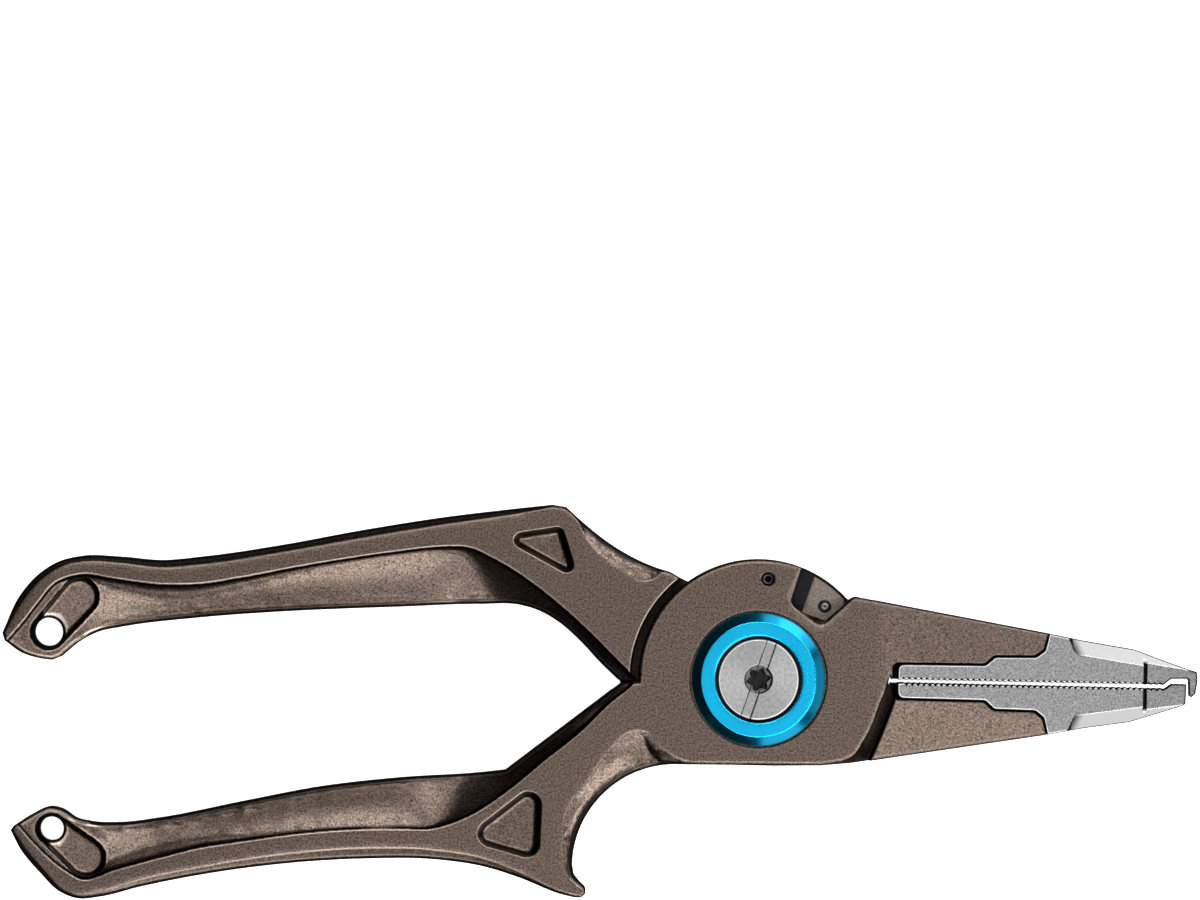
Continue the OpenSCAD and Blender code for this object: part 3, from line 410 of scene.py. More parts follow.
def near(points, line):
    """Distance from points to a line, and the place of the nearest point along it."""
    a, ab = line[:-1, :2], np.diff(line[:, :2], axis=0)
    square = (ab**2).sum(1)
    distance, place = np.empty(len(points)), np.empty(len(points))
    for i in range(0, len(points), BATCH):
        p = points[i:i + BATCH, None, :]
        t = np.clip(((p - a) * ab).sum(2) / square, 0, 1)
        d = np.linalg.norm(p - a - t[..., None] * ab, axis=2)
        k = d.argmin(1)
        row = np.arange(len(k))
        distance[i:i + BATCH], place[i:i + BATCH] = d[row, k], k + t[row, k]
    return distance, place


def inside(points, outline):
    x, y = points.T
    odd = np.zeros(len(points), bool)
    for (ax, ay), (bx, by) in zip(outline[:, :2], np.roll(outline[:, :2], -1, 0)):
        if ay != by:
            odd ^= ((ay > y) != (by > y)) & (x < (bx - ax) * (y - ay) / (by - ay) + ax)
    return odd


def depth_in(points, outline):
    """Distance to a closed outline, positive inside it."""
    distance = near(points, np.vstack([outline, outline[:1]]))[0]
    return np.where(inside(points, outline), distance, -distance)


def soft_max(a, b, blend):
    return np.maximum(a, b) + np.maximum(blend - np.abs(a - b), 0)**2 / (4 * blend)


def quarter_round(distance, radius):
    """Drop of a rounded edge at a distance from it."""
    d = np.clip(distance, 0, radius)
    return radius - np.sqrt(radius**2 - (radius - d)**2)


# Cuts below a flat face. Each gives lines for the mesh to follow, and for points the drop, the wear with its
# painted highlight, and the painted shade

class EdgeCut:
    """Grip or scallop between a line on the flat face and the edge of the part."""

    def __init__(self, line, edge, side, drop, curve, keep_out=0):
        self.line = spline(line)
        self.scoop = self.line.shape[1] == 3
        self.edge = edge
        self.area = np.vstack([self.line[:, :2], np.array(side, float)])
        self.drop, self.curve, self.keep_out = drop, curve, keep_out

    def lines(self):
        path = self.line[:, :2]
        halfway = len(path) // 2
        turn = 1 if inside(beside(path, EDGE_STEP, False)[halfway:halfway + 1], self.area)[0] else -1
        return [(beside(path, turn * gap, False), False) for gap in (SCOOP_ROWS if self.scoop else GRIP_ROWS)]

    def __call__(self, points, even):
        distance, place = near(points, self.line)
        within = inside(points, self.area)
        to_edge = near(points, self.edge)[0]
        row = np.arange(len(self.line))
        free = within & (distance > LINE_MARGIN) & (to_edge > EDGE_MARGIN)
        share = even(np.interp(place, row, self.line[:, 2]), free) * self.drop
        t = even(distance / np.maximum(distance + to_edge, 1e-6), free)
        first, power = self.curve
        roll = first * t + (1 - first) * t**power
        if self.scoop:
            into = share * roll
            blend, start = SCOOP_BLEND, np.full(len(points), SCOOP_START)
        else:
            wall = np.minimum(even(np.interp(place, row, self.line[:, 3]), free), share)
            width = even(np.interp(place, row, self.line[:, 4]), free)
            cove = 1 - (1 - np.clip(distance / width, 0, 1))**COVE_POWER
            into = wall * cove + (share - wall) * roll
            blend, start = GRIP_BLEND, COVE_POWER * wall / width
        if self.keep_out:
            away = np.maximum(np.linalg.norm(points, axis=1) - self.keep_out, 0)
            into = np.minimum(into, CHEEK_END_SLOPE * away)
        outside = -distance * np.maximum(start, 0.3)
        drop = soft_max(np.where(within, into, outside), np.zeros(len(points)), blend)
        # Wear and a painted highlight just outside the line; for a grip, painted shade at the foot of its
        # cove
        off_line = np.abs(np.where(within, distance, -distance) + 0.1)
        wear = np.clip(1 - off_line / 0.12, 0, 1) * np.clip(share, 0, 1)
        if self.scoop:
            return drop, wear * SCOOP_WEAR_AND_HIGHLIGHT, np.zeros(len(points))
        cavity = np.where(within, np.clip(1.5 - np.abs(distance - 0.2) / 0.25, 0, 1), 0)
        return drop, wear * GRIP_WEAR_AND_HIGHLIGHT, cavity * np.clip(1.6 * start, 0, 1)


class Bevel:
    """Flat bevel along an outer edge, whose points carry its width and a share of its depth."""

    def __init__(self, edge, side):
        self.edge, self.side = edge, side

    def lines(self):
        width = self.edge[:, 2] * self.side
        return [(beside(self.edge[:, :2], width * k, False), False) for k in (0.55, 0.85, 1.0, 1.15)]

    def __call__(self, points, even):
        distance, place = near(points, self.edge)
        row = np.arange(len(self.edge))
        width, share = (np.interp(place, row, self.edge[:, k]) for k in (2, 3))
        end = np.clip(np.minimum(place, row[-1] - place) / 3, 0, 1)
        drop = soft_max(BEVEL_DROP * share * (1 - distance / width), np.zeros(len(points)), 0.12)
        # Wear and a painted highlight along the bevel's inner line
        wear = np.clip(1 - np.abs(distance - width) / 0.14, 0, 1) * BEVEL_WEAR_AND_HIGHLIGHT
        return drop * end, wear * end, np.zeros(len(points))


class Recess:
    """Pocket or recess inside a closed outline, with a flat floor and walls that lean in."""

    def __init__(self, outline, depth, lean=0.04, lip=LIP_R, worn=0.0, dark=0.0, line=0.1, tilt=0.0):
        self.outline, self.depth, self.lean, self.lip = outline, depth, lean, lip
        self.worn, self.dark, self.line, self.tilt = worn, dark, line, tilt

    def lines(self):
        gaps = [-self.lip - 0.15, -self.lip, -self.lip * 0.6, -self.lip * 0.25, 0, self.lean, self.lean + 0.2]
        if self.lean > 0.3:
            gaps += [self.lean * k for k in (0.25, 0.5, 0.7, 0.85)]
        gaps += [self.line * 0.7, self.line]
        return [(beside(self.outline, gap, True), True) for gap in gaps]

    def __call__(self, points, even):
        into = depth_in(points, self.outline)
        rise = np.clip(into / self.lean, 0, 1)
        if self.lean > 0.3:
            rise = 1 - (1 - rise)**2.2
        depth = self.depth + self.tilt * (points[:, 1] - self.outline[:, 1].mean())
        floor = self.lip + (depth - self.lip) * rise
        drop = np.where(into > 0, floor, quarter_round(-into, self.lip))
        # Wear and a painted highlight on the lip; painted shade in a band inside the walls, and at least as
        # much as dark over the floor
        wear = np.clip(1 - np.abs(into + self.lip * 0.7) / 0.1, 0, 1) * self.worn
        cavity = np.where(into > 0, np.clip((self.line - into) / max(0.3 * self.line, 0.06), self.dark, 1), 0)
        return np.where(into > -self.lip, drop, 0), wear, cavity


class NoseBevel:
    """Flat bevel along the outer edge of a jaw's nose, begun by the round end of the cutter."""

    def __init__(self, side):
        self.side = side
        self.along = np.array([math.cos(NOSE_BEVEL_TURN), math.sin(NOSE_BEVEL_TURN)])
        self.out = np.array([-self.along[1], self.along[0]])
        self.start = np.array(NOSE_BEVEL_FROM)

    def lines(self):
        edge = stepped([self.start, self.start + self.along * 24])
        rows = (-0.2, -0.08, 0, 0.08, 0.2, TIP_STEP - 0.1, TIP_STEP, TIP_STEP + 0.1)
        moved = [edge + self.out * k for k in rows]
        slant = self.out * 4 - self.along * 4 * NOSE_BEVEL_SLANT
        for run in (-0.1, 0, 0.05, 0.15, 0.3, 0.5, 0.7, 0.9):
            first = self.start + self.along * run * NOSE_BEVEL_RUN
            moved.append(stepped([first, first + slant], 0.3))
        return [(np.column_stack([line[:, 0], JAW_LINE + self.side * line[:, 1]]), False) for line in moved]

    def depth(self, points):
        """Depth of the bevel, and how far its round beginning has run."""
        own = np.column_stack([points[:, 0], self.side * (points[:, 1] - JAW_LINE)]) - self.start
        out = own @ self.out
        run = np.clip((own @ self.along + out * NOSE_BEVEL_SLANT) / NOSE_BEVEL_RUN, 0, 1)
        return np.minimum(np.maximum(out, 0), 3.2 * np.sqrt(1 - (1 - run)**2)), out, run

    def __call__(self, points, even):
        drop, out, run = self.depth(points)
        # Painted shade in the round beginning of the bevel, fading along it
        cavity = np.where((out > 0) & (run > 0), np.clip(1.1 - run * 1.3, 0, 0.85), 0)
        return drop, np.zeros(len(points)), cavity


class TipStep:
    """Step down to the thin tip of a jaw, with a groove at its foot that ends at the bevel."""

    def __init__(self, bevel, outline):
        self.bevel, self.outline = bevel, outline

    def lines(self):
        places = TIP_X + np.array([-0.12, 0, 0.06, 0.3, 0.42, 0.55, 0.7])
        return [(stepped([(x, JAW_LINE - 7), (x, JAW_LINE + 7)]), False) for x in places]

    def __call__(self, points, even):
        past = points[:, 0] - TIP_X
        side = np.clip((GROOVE_W - past) / 0.13, 0, 1)
        groove = np.where((past > 0) & (past < GROOVE_W), GROOVE_DEPTH * side, 0)
        drop = np.where(past > 0, TIP_STEP * np.clip(past / 0.06, 0, 1), 0) + groove
        # Painted shade in the groove, along the tip's edges and faintly over the whole tip
        rim = np.abs(depth_in(points, self.outline))
        shade = np.maximum(np.clip((0.7 - past) / 0.15, 0.12, 1), np.clip((0.33 - rim) / 0.1, 0, 1))
        cavity = np.where((past > 0) & (self.bevel.depth(points)[0] < TIP_STEP), shade, 0)
        return drop, np.zeros(len(points)), cavity


class ToothGaps:
    """Row of notches between the teeth along the gripping edge of a jaw."""

    def __init__(self, first, count, side):
        self.first, self.count, self.side = first, count, side

    def lines(self):
        row = np.arange(2 * self.count + 1)
        x = self.first + row * TOOTH_PITCH / 2
        tops = JAW_GAP / 2 + TOOTH_GAP * (row % 2)
        return [(np.column_stack([x, JAW_LINE + self.side * (tops + k)]), False) for k in (-0.05, 0, 0.06)]

    def __call__(self, points, even):
        along = (points[:, 0] - self.first) / TOOTH_PITCH
        top = JAW_GAP / 2 + TOOTH_GAP * (1 - np.abs(2 * (along % 1) - 1))
        into = top - self.side * (points[:, 1] - JAW_LINE)
        within = (along > 0) & (along < self.count) & (into > 0)
        drop = np.where(within, TOOTH_GAP_DEPTH * np.clip(into / 0.06, 0, 1), 0)
        # The notches between the teeth carry full painted shade
        return drop, np.zeros(len(points)), within * 1.0


def arm_slope(points):
    """Drop of the jaw arms and jaws, which get thinner towards the tip."""
    return np.maximum(points[:, 0] - TAPER_X, 0) * TAPER


def lower_arm_slope(points):
    """The lower jaw arm begins to get thinner sooner, and also leans a little to its outer edge."""
    ahead = np.maximum(points[:, 0] - LOWER_TAPER_X, 0)
    lean = ARM_LEAN * np.maximum(JAW_LINE - 3 - points[:, 1], 0)
    return ahead * LOWER_TAPER + np.clip(ahead / 3, 0, 1) * lean


def level(points):
    return np.zeros(len(points))


def slot(start, start_r, stop, stop_r):
    """Outline of a slot with round ends of two sizes."""
    along = stop - start
    turn = math.degrees(math.atan2(along[1], along[0]))
    side = math.degrees(math.acos((start_r - stop_r) / np.linalg.norm(along)))
    far_end = arc(stop, stop_r, turn - side, turn + side, SLOT_STEP)
    return loop(far_end, arc(start, start_r, turn + side, turn + 360 - side, SLOT_STEP))


# Meshes of the frames, the jaws and the bolt

def triangles(outline, holes, lines):
    """Triangles that fill an outline, follow the lines and leave the holes open."""
    points, edges = [], []
    for line, closed in [(outline, True)] + [(hole, True) for hole in holes] + lines:
        first = sum(len(p) for p in points)
        points.append(line)
        edges += [(first + i, first + i + 1) for i in range(len(line) - 1)]
        if closed:
            edges.append((first + len(line) - 1, first))
    drawn = np.vstack(points)
    tree = kdtree.KDTree(len(drawn))
    for i, p in enumerate(drawn):
        tree.insert((p[0], p[1], 0), i)
    tree.balance()
    low, high = outline.min(0), outline.max(0)
    rows = []
    for i, y in enumerate(np.arange(low[1], high[1], FILL_STEP * FILL_ROWS)):
        x = np.arange(low[0] + (i % 2) * FILL_STEP / 2, high[0], FILL_STEP)
        rows.append(np.column_stack([x, np.full(len(x), y)]))
    fill = np.vstack(rows)
    fill = fill[inside(fill, outline)]
    clear = [tree.find((x, y, 0))[2] > FILL_STEP * FILL_CLEAR for x, y in fill]
    every = np.vstack([drawn, fill[clear]])
    found = delaunay_2d_cdt([Vector(p) for p in every], edges, [], 0, 1e-4, False)
    points, faces = np.array([tuple(p) for p in found[0]]), np.array([tuple(f) for f in found[2]])
    middle = points[faces].mean(1)
    keep = inside(middle, outline)
    for hole in holes:
        keep &= ~inside(middle, hole)
    faces = faces[keep]
    used = np.unique(faces)
    renamed = np.full(len(points), -1)
    renamed[used] = np.arange(len(used))
    return points[used], renamed[faces]


def smoothed(z, faces, free):
    """Heights evened out between neighbours, where points are free to move."""
    edges = np.unique(np.sort(np.vstack([faces[:, :2], faces[:, 1:], faces[:, ::2]]), axis=1), axis=0)
    count = np.bincount(edges.ravel(), minlength=len(z))
    for _ in range(SMOOTHING):
        total = np.bincount(edges[:, 0], z[edges[:, 1]], len(z))
        total = total + np.bincount(edges[:, 1], z[edges[:, 0]], len(z))
        z = np.where(free, z * (1 - NEIGHBOUR_SHARE) + total / count * NEIGHBOUR_SHARE, z)
    return z


def new_piece(name, points, faces, **attributes):
    """Smooth piece from points in millimetres, which carry values under the attributes' names."""
    mesh = bpy.data.meshes.new(name)
    mesh.from_pydata((points * MM).tolist(), [], faces)
    mesh.polygons.foreach_set("use_smooth", [True] * len(mesh.polygons))
    for attribute, values in attributes.items():
        made = mesh.attributes.new(attribute, "FLOAT", "POINT")
        made.data.foreach_set("value", values.astype(np.float32))
    mesh.validate()
    mesh.update()
    piece = bpy.data.objects.new(name, mesh)
    bpy.context.scene.collection.objects.link(piece)
    return piece


def plate_mesh(name, outline, holes, front_cuts, back_cuts, slope, rim_r=RIM_R, base=0, top=BODY_T,
               worn_edge=EDGE_WEAR_AND_HIGHLIGHT, soft_edges=False):
    """Closed mesh between a front and a back face, each sunk by its slope and cuts, with rounded edges."""
    rims = [outline] + holes
    lines = [(beside(outline, rim_r * k, True), True) for k in RIM_ROWS]
    lines += [(beside(hole, -rim_r * k, True), True) for hole in holes for k in HOLE_ROWS]
    cuts = []
    for cut in front_cuts + back_cuts:
        if cut not in cuts:
            cuts.append(cut)
            lines += cut.lines()
    points, faces = triangles(outline, holes, lines)

    def even(values, free):
        return smoothed(values, faces, free)

    rim = np.min([near(points, np.vstack([line, line[:1]]))[0] for line in rims], axis=0)
    seen = {}
    faces_z, wear, cavity = [], [], []
    for cut_list in (front_cuts, back_cuts):
        found = [(np.zeros(len(points)),) * 3]
        for cut in cut_list:
            if cut not in seen:
                seen[cut] = cut(points, even)
            found.append(seen[cut])
        drop, worn, dark = (np.max([f[k] for f in found], axis=0) for k in range(3))
        low = drop > BODY_T * DEEP_SHARE
        radius = np.where(low, DEEP_RIM_R, rim_r)
        faces_z.append(slope(points) + drop + quarter_round(rim, radius))
        # Wear and a painted highlight on the rounding of the rim
        worn_rim = np.clip(1 - np.abs(rim - rim_r) / (0.3 * rim_r), 0, 1) * worn_edge
        if soft_edges:
            worn_rim *= FLAT_EDGE_WEAR_AND_HIGHLIGHT + (1 - FLAT_EDGE_WEAR_AND_HIGHLIGHT) * np.clip(drop / 2, 0, 1)
        wear.append(np.where(low, 0, np.maximum(worn, worn_rim)))
        # Painted shade in a thin line along the outline and the holes
        cavity.append(np.maximum(dark, np.clip(1.2 - rim / RIM_DARK, 0, 1)))
    count = len(points)
    front = np.column_stack([points, top - faces_z[0]])
    back = np.column_stack([points, base + faces_z[1]])
    side = {}
    for a, b, c in faces:
        for edge in ((a, b), (b, c), (c, a)):
            side[edge] = side.get(edge, 0) + 1
    rim_edges = [edge for edge in side if (edge[1], edge[0]) not in side]
    # Two more rows of points on the walls, so that the painted shade line of the rim ends there
    rows = np.unique(rim_edges)
    place = {p: 2 * count + i for i, p in enumerate(rows)}
    inset = np.minimum(front[rows, 2] - back[rows, 2], 1.5) * 0.1
    walls = []
    for a, b in rim_edges:
        a_high, b_high = place[a], place[b]
        a_low, b_low = a_high + len(rows), b_high + len(rows)
        walls += [(b, a, a_high, b_high), (b_high, a_high, a_low, b_low),
                  (b_low, a_low, count + a, count + b)]
    upper_row, lower_row = front[rows], back[rows]
    upper_row[:, 2] -= inset
    lower_row[:, 2] += inset
    wear.append(np.zeros(2 * len(rows)))
    cavity.append(np.zeros(2 * len(rows)))
    every = np.vstack([front, back, upper_row, lower_row])
    return new_piece(name, every, faces.tolist() + (faces[:, ::-1] + count).tolist() + walls,
                     wear=np.hstack(wear), cavity=np.hstack(cavity))


room = loop(arc(PIVOT, SHOULDER_R, 90, 270), ARM_EDGE, [(x, 2 * JAW_LINE - y) for x, y in ARM_EDGE[::-1]])
cheek_front = spline(CHEEK_FRONT)
upper_edge, lower_edge = spline(UPPER_OUTER), spline(LOWER_OUTER)
upper_inner, lower_inner = spline(UPPER_INNER), spline(LOWER_INNER)
upper_thumb, upper_end = spline(UPPER_THUMB), spline(UPPER_END)

choil = arc(CHOIL_C, CHOIL_R, 180, 90)
front_outline = loop(lower_edge, spline(LOWER_HOOK), choil, [(CHEEK_FOOT_X, 0.3 - CHEEK_DROP)],
                     cheek_front, lifted(ARM),
                     arc(PIVOT, CHEEK_R, ARM_TURN, LOWER_ROOT_TURN), [LOWER_ROOT], lower_inner)
rear_foot = 180 + math.degrees(math.asin(CHEEK_DROP / CHEEK_R))
rear_outline = loop(arc(PIVOT, CHEEK_R, UPPER_ROOT_TURN, rear_foot),
                    [(3, -CHEEK_DROP), (CHEEK_FOOT_X, 0.2 - CHEEK_DROP)], flipped(ARM),
                    [(x, 2 * JAW_LINE - y) for x, y in cheek_front[::-1]],
                    arc(PIVOT, CHEEK_R, ARM_TURN, THUMB_TURN), upper_thumb[::-1], upper_edge[::-1],
                    upper_end[::-1], upper_inner[::-1], ROOT_TONGUE)

# The floors of the jaws' seats carry full painted shade, which shows black in the gaps beside the steel jaws
lower_sculpt = [
    EdgeCut(LOWER_GRIP, np.vstack([[LOWER_ROOT], lower_inner]), LOWER_GRIP_SIDE, LOWER_GRIP_DROP, GRIP_CURVE),
    EdgeCut(CHOIL_LINE, np.vstack([spline(LOWER_HOOK), choil]), CHOIL_SIDE, CHOIL_DROP, CHOIL_CURVE),
    Bevel(lower_edge, 1),
    Recess(rounded(LOWER_POCKET, LOWER_POCKET_R), POCKET_DEPTH, POCKET_LEAN, worn=POCKET_WEAR_AND_HIGHLIGHT,
           line=POCKET_LINE),
    Recess(slot(*LOWER_LANYARD), LANYARD_DEPTH, LANYARD_LEAN, worn=POCKET_WEAR_AND_HIGHLIGHT, line=LANYARD_LINE,
           tilt=LANYARD_TILT),
    Recess(loop(lifted(eased(SEAT, SEAT_R)), [(49, 9), (49, -1)]), SEAT_DEPTH, lip=0.1, dark=1.0)]
upper_sculpt = [
    EdgeCut(UPPER_GRIP, np.vstack([upper_inner, upper_end]), UPPER_GRIP_SIDE, UPPER_GRIP_DROP, GRIP_CURVE,
            SHOULDER_R - 0.2),
    EdgeCut(THUMB_LINE, upper_thumb, THUMB_SIDE, THUMB_DROP, THUMB_CURVE),
    Bevel(upper_edge, -1),
    Recess(rounded(UPPER_POCKET, UPPER_POCKET_R), POCKET_DEPTH, POCKET_LEAN, worn=POCKET_WEAR_AND_HIGHLIGHT,
           line=POCKET_LINE),
    Recess(slot(*UPPER_LANYARD), LANYARD_DEPTH, LANYARD_LEAN, worn=POCKET_WEAR_AND_HIGHLIGHT, line=LANYARD_LINE,
           tilt=-LANYARD_TILT),
    Recess(loop(flipped(eased(SEAT, SEAT_R)), [(49, 1), (49, -9)])[::-1], SEAT_DEPTH, lip=0.1, dark=1.0)]
# The floor of the room for the other half's cheek carries painted shade, which shows as a dark band between
# the halves
room_cut = Recess(room, BODY_T - CHEEK_LEVEL, lip=0.3, worn=0.3, dark=0.86, line=0.3)
stop_slot = loop(arc(PIVOT, STOP_R + STOP_SLOT_HALF_W, STOP_FROM, STOP_TO),
                 arc(PIVOT, STOP_R - STOP_SLOT_HALF_W, STOP_TO, STOP_FROM))
stop_hole = circle(arc(PIVOT, STOP_R, STOP_PIN_AT, STOP_PIN_AT)[0], STOP_PIN_R, SMALL_STEP)
upper_screw_holes = [Recess(circle((x, y + JAW_LINE), JAW_SCREW_R, SLOT_STEP), JAW_SCREW_DEPTH, lip=0.15)
                     for x, y in JAW_SCREWS]
lower_screw_holes = [Recess(circle((x, JAW_LINE - y), JAW_SCREW_R, SLOT_STEP), JAW_SCREW_DEPTH, lip=0.15)
                     for x, y in JAW_SCREWS]
lower_frame = plate_mesh(
    "lower_frame", front_outline,
    [circle(LOWER_HOLE, LOWER_HOLE_R, CORNER_STEP), rounded(np.array(WINDOW) + CUT_MID, WINDOW_R),
     circle(PIVOT, SLEEVE_BORE_R)],
    lower_sculpt + [Recess(circle(PIVOT, RING_R + 0.3), BODY_T - RING_FLOOR, lip=0.15),
                    Recess(circle(at_cut([FRONT_SCREW])[0], FRONT_SCREW_R, SMALL_STEP), FRONT_SCREW_DEPTH,
                           lip=0.12)],
    lower_sculpt + [room_cut, Recess(loop(ROOT_ROOM), BODY_T - CHEEK_LEVEL),
                    Recess(loop(at_cut(FRONT_PLATE)), FRONT_PLATE_DEPTH, lip=0.05),
                    Recess(stop_hole, STOP_PIN_DEPTH, lip=0.05)]
    + upper_screw_holes, arm_slope, soft_edges=True)
# The room under the root's tongue carries full painted shade
upper_frame = plate_mesh(
    "upper_frame", rear_outline, [circle(UPPER_HOLE, UPPER_HOLE_R, CORNER_STEP), circle(PIVOT, BUSH_BORE_R)],
    upper_sculpt + [room_cut, Recess(loop(ROOT_TOP), BODY_T - CHEEK_LEVEL, dark=1.0),
                    Recess(circle(PIVOT, WASHER_ROOM_R), BODY_T - WASHER_ROOM_FLOOR, lip=0.05),
                    Recess(loop(at_cut(REAR_PLATE)), BODY_T - REAR_PLATE_FLOOR, lip=0.05),
                    Recess(stop_slot, BODY_T - STOP_SLOT_FLOOR, lip=0.05)],
    upper_sculpt + [Recess(circle(PIVOT, FLANGE_ROOM_R), FLANGE_ROOM_DEPTH, lip=0.12)]
    + lower_screw_holes, lower_arm_slope, soft_edges=True)


def jaw(name, nose, tip, first_tooth, side):
    """Steel jaw with its row of teeth, drawn above the jaw line or turned over to below it."""
    count = int((TOOTH_TO - first_tooth) / TOOTH_PITCH)
    row = [(first_tooth + (i + k) * TOOTH_PITCH, JAW_GAP / 2 + 2 * k * TOOTH_DEPTH)
           for i in range(count) for k in (0, 0.5)]
    last = [(first_tooth + count * TOOTH_PITCH, JAW_GAP / 2)]
    half = loop(row, last, tip[::-1], nose[::-1], eased(JAW_BACK, JAW_HEEL_R))
    outline = np.array(lifted(half) if side > 0 else flipped(half))
    bevel = NoseBevel(side)
    cuts = [bevel, TipStep(bevel, outline), ToothGaps(first_tooth, count, side)]
    return plate_mesh(name, outline, [], cuts, cuts, arm_slope, JAW_RIM_R, worn_edge=JAW_WEAR_AND_HIGHLIGHT)


upper_jaw = jaw("upper_jaw", UPPER_NOSE, UPPER_TIP, TOOTH_FROM, 1)
lower_jaw = jaw("lower_jaw", LOWER_NOSE, LOWER_TIP, TOOTH_FROM + TOOTH_PITCH / 2, -1)


def bolt_head():
    """Head of the pivot bolt: a shallow slot across it and a six-lobed socket in the middle."""
    turn = np.linspace(0, 2 * math.pi, SOCKET_STEPS, endpoint=False)
    reach = SOCKET_R + SOCKET_LOBE * np.cos(6 * (turn - SOCKET_TURN))
    socket = np.column_stack([reach * np.cos(turn), reach * np.sin(turn)])
    way = np.array([math.cos(BOLT_SLOT_TURN), math.sin(BOLT_SLOT_TURN)])
    aside = np.array([-way[1], way[0]]) * BOLT_SLOT_W / 2
    end = way * BOLT_SLOT_REACH
    across = loop([-end - aside, end - aside, end + aside, -end + aside])
    # Painted shade: faint in the slot, near black in the socket, and dark in the countersink
    cuts = [Recess(across, BOLT_SLOT_DEPTH, 0.1, 0.05, dark=0.05, line=0.2),
            Recess(socket, SOCKET_DEPTH, 0.12, 0.08, dark=0.95),
            Recess(circle(PIVOT, COUNTERSINK_R, SMALL_STEP), COUNTERSINK_DEPTH, 0.25, 0.06, dark=0.65,
                   line=0.15)]
    return plate_mesh("bolt_head", circle(PIVOT, BOLT_R), [], cuts, [], level, BOLT_RIM_R, BOLT_UNDER,
                      BOLT_TOP)


def turned(name, corners, round_r, centre=PIVOT, shades=((0, 0),)):
    """Piece turned on a lathe: a section of radius and height with rounded corners, with painted shade at
    some radii.
    """
    section = rounded(corners, round_r)
    turns = np.linspace(0, 2 * math.pi, TURNS, endpoint=False)
    around = np.column_stack([np.cos(turns), np.sin(turns)])
    ring = np.concatenate([around[:, None, :] * section[None, :, :1] + centre,
                           np.broadcast_to(section[None, :, 1:], (TURNS, len(section), 1))], axis=2)
    row, after = np.arange(len(section)), np.roll(np.arange(len(section)), -1)
    faces = [(a * len(section) + i, b * len(section) + i, b * len(section) + j, a * len(section) + j)
             for a, b in zip(range(TURNS), [*range(1, TURNS), 0]) for i, j in zip(row, after)]
    # Painted shade by radius, such as the dark socket of a screw head
    dark = np.interp(section[:, 0], *zip(*shades))
    return new_piece(name, ring.reshape(-1, 3), faces, cavity=np.tile(dark, TURNS))


def middle(node):
    low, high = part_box(node)
    return np.array([low.x + high.x, low.y + high.y]) / 2 / MM


def cutter_screw(node, shank_r, head_h, head, shades):
    """Small screw from a shank and the section of a head, which begins at the head's rim."""
    low, top = (corner.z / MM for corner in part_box(node))
    section = [(AXIS, low), (shank_r, low), (shank_r, top - head_h), (head[0][0], top - head_h)]
    section += [(r, top + h) for r, h in head]
    return turned(node + "_head", section, SCREW_CORNER_R, middle(node), shades)


bolt = bolt_head()
# Pieces of revolution have a hair-thin bore instead of points on the axis
shank_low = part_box("pivot_bolt")[0].z / MM
shank = turned("bolt_shank", [(AXIS, shank_low), (2.6, shank_low), (3, shank_low + 0.4),
                              (3, BOLT_UNDER + 0.2), (AXIS, BOLT_UNDER + 0.2)], 0.1)
ring = turned("blue_ring", [(RING_BORE_R, RING_FLOOR), (RING_R, RING_FLOOR), (RING_R, BODY_T),
                            (RING_FLAT_R, RING_TOP), (RING_BORE_R, RING_TOP)], 0.18)
front_screw = cutter_screw("front_cutter_screw", 0.8, 1.3, FRONT_HEAD, FRONT_SHADES)
rear_screw = cutter_screw("rear_cutter_screw", 0.7, 0.8, REAR_HEAD, REAR_SHADES)


# Finishes

def linear(hex_colour):
    """sRGB hex value as linear red, green, blue and full alpha."""
    parts = [int(hex_colour[i:i + 2], 16) / 255 for i in (1, 3, 5)]
    return [p / 12.92 if p <= 0.04045 else ((p + 0.055) / 1.055)**2.4 for p in parts] + [1]


def per_size(size_mm):
    """Texture scale that repeats about once in a real size, in object coordinates of metres."""
    return 1 / (size_mm * MM)


def add(tree, kind, links, **settings):
    """A node of a kind with its settings; links give each input a value, an output or a node's first one."""
    made = tree.nodes.new(kind)
    for name, value in settings.items():
        setattr(made, name, value)
    for name, value in links.items():
        if isinstance(value, bpy.types.Node):
            value = next(output for output in value.outputs if output.enabled)
        if isinstance(value, bpy.types.NodeSocket):
            tree.links.new(value, made.inputs[name])
        else:
            made.inputs[name].default_value = value
    return made


def new_finish(name, sockets):
    """Material with a principled shader whose plain sockets are set, its tree and its shader."""
    finish = bpy.data.materials.new(name)
    finish.use_nodes = True
    shader = finish.node_tree.nodes["Principled BSDF"]
    for socket, value in sockets.items():
        shader.inputs[socket].default_value = value
    return finish, finish.node_tree, shader


def laid_over(tree, colour, **layers):
    """A colour with others laid over it, each as far as the mesh's attribute of its name says."""
    for name, over in layers.items():
        share = add(tree, "ShaderNodeAttribute", {}, attribute_name=name).outputs["Fac"]
        mixed = add(tree, "ShaderNodeMix", {"Factor": share, "A": colour, "B": linear(over)},
                    data_type="RGBA")
        colour = mixed.outputs["Result"]
    return colour


def blasted(tree, shader, place, grain_mm, dark, light, strength, depth_mm):
    """Colour of a blasted face, specked from dark to light in a grain that also roughens the surface."""
    grain = add(tree, "ShaderNodeTexNoise", {"Vector": place, "Scale": per_size(grain_mm), "Detail": 2.0,
                                             "Roughness": 0.75})
    bump = add(tree, "ShaderNodeBump", {"Height": grain, "Strength": strength, "Distance": depth_mm * MM})
    tree.links.new(bump.outputs["Normal"], shader.inputs["Normal"])
    speck = add(tree, "ShaderNodeMapRange", {"Value": grain, "From Min": 0.3, "From Max": 0.7})
    return add(tree, "ShaderNodeMix", {"Factor": speck, "A": linear(dark),
                                       "B": linear(light)}, data_type="RGBA")


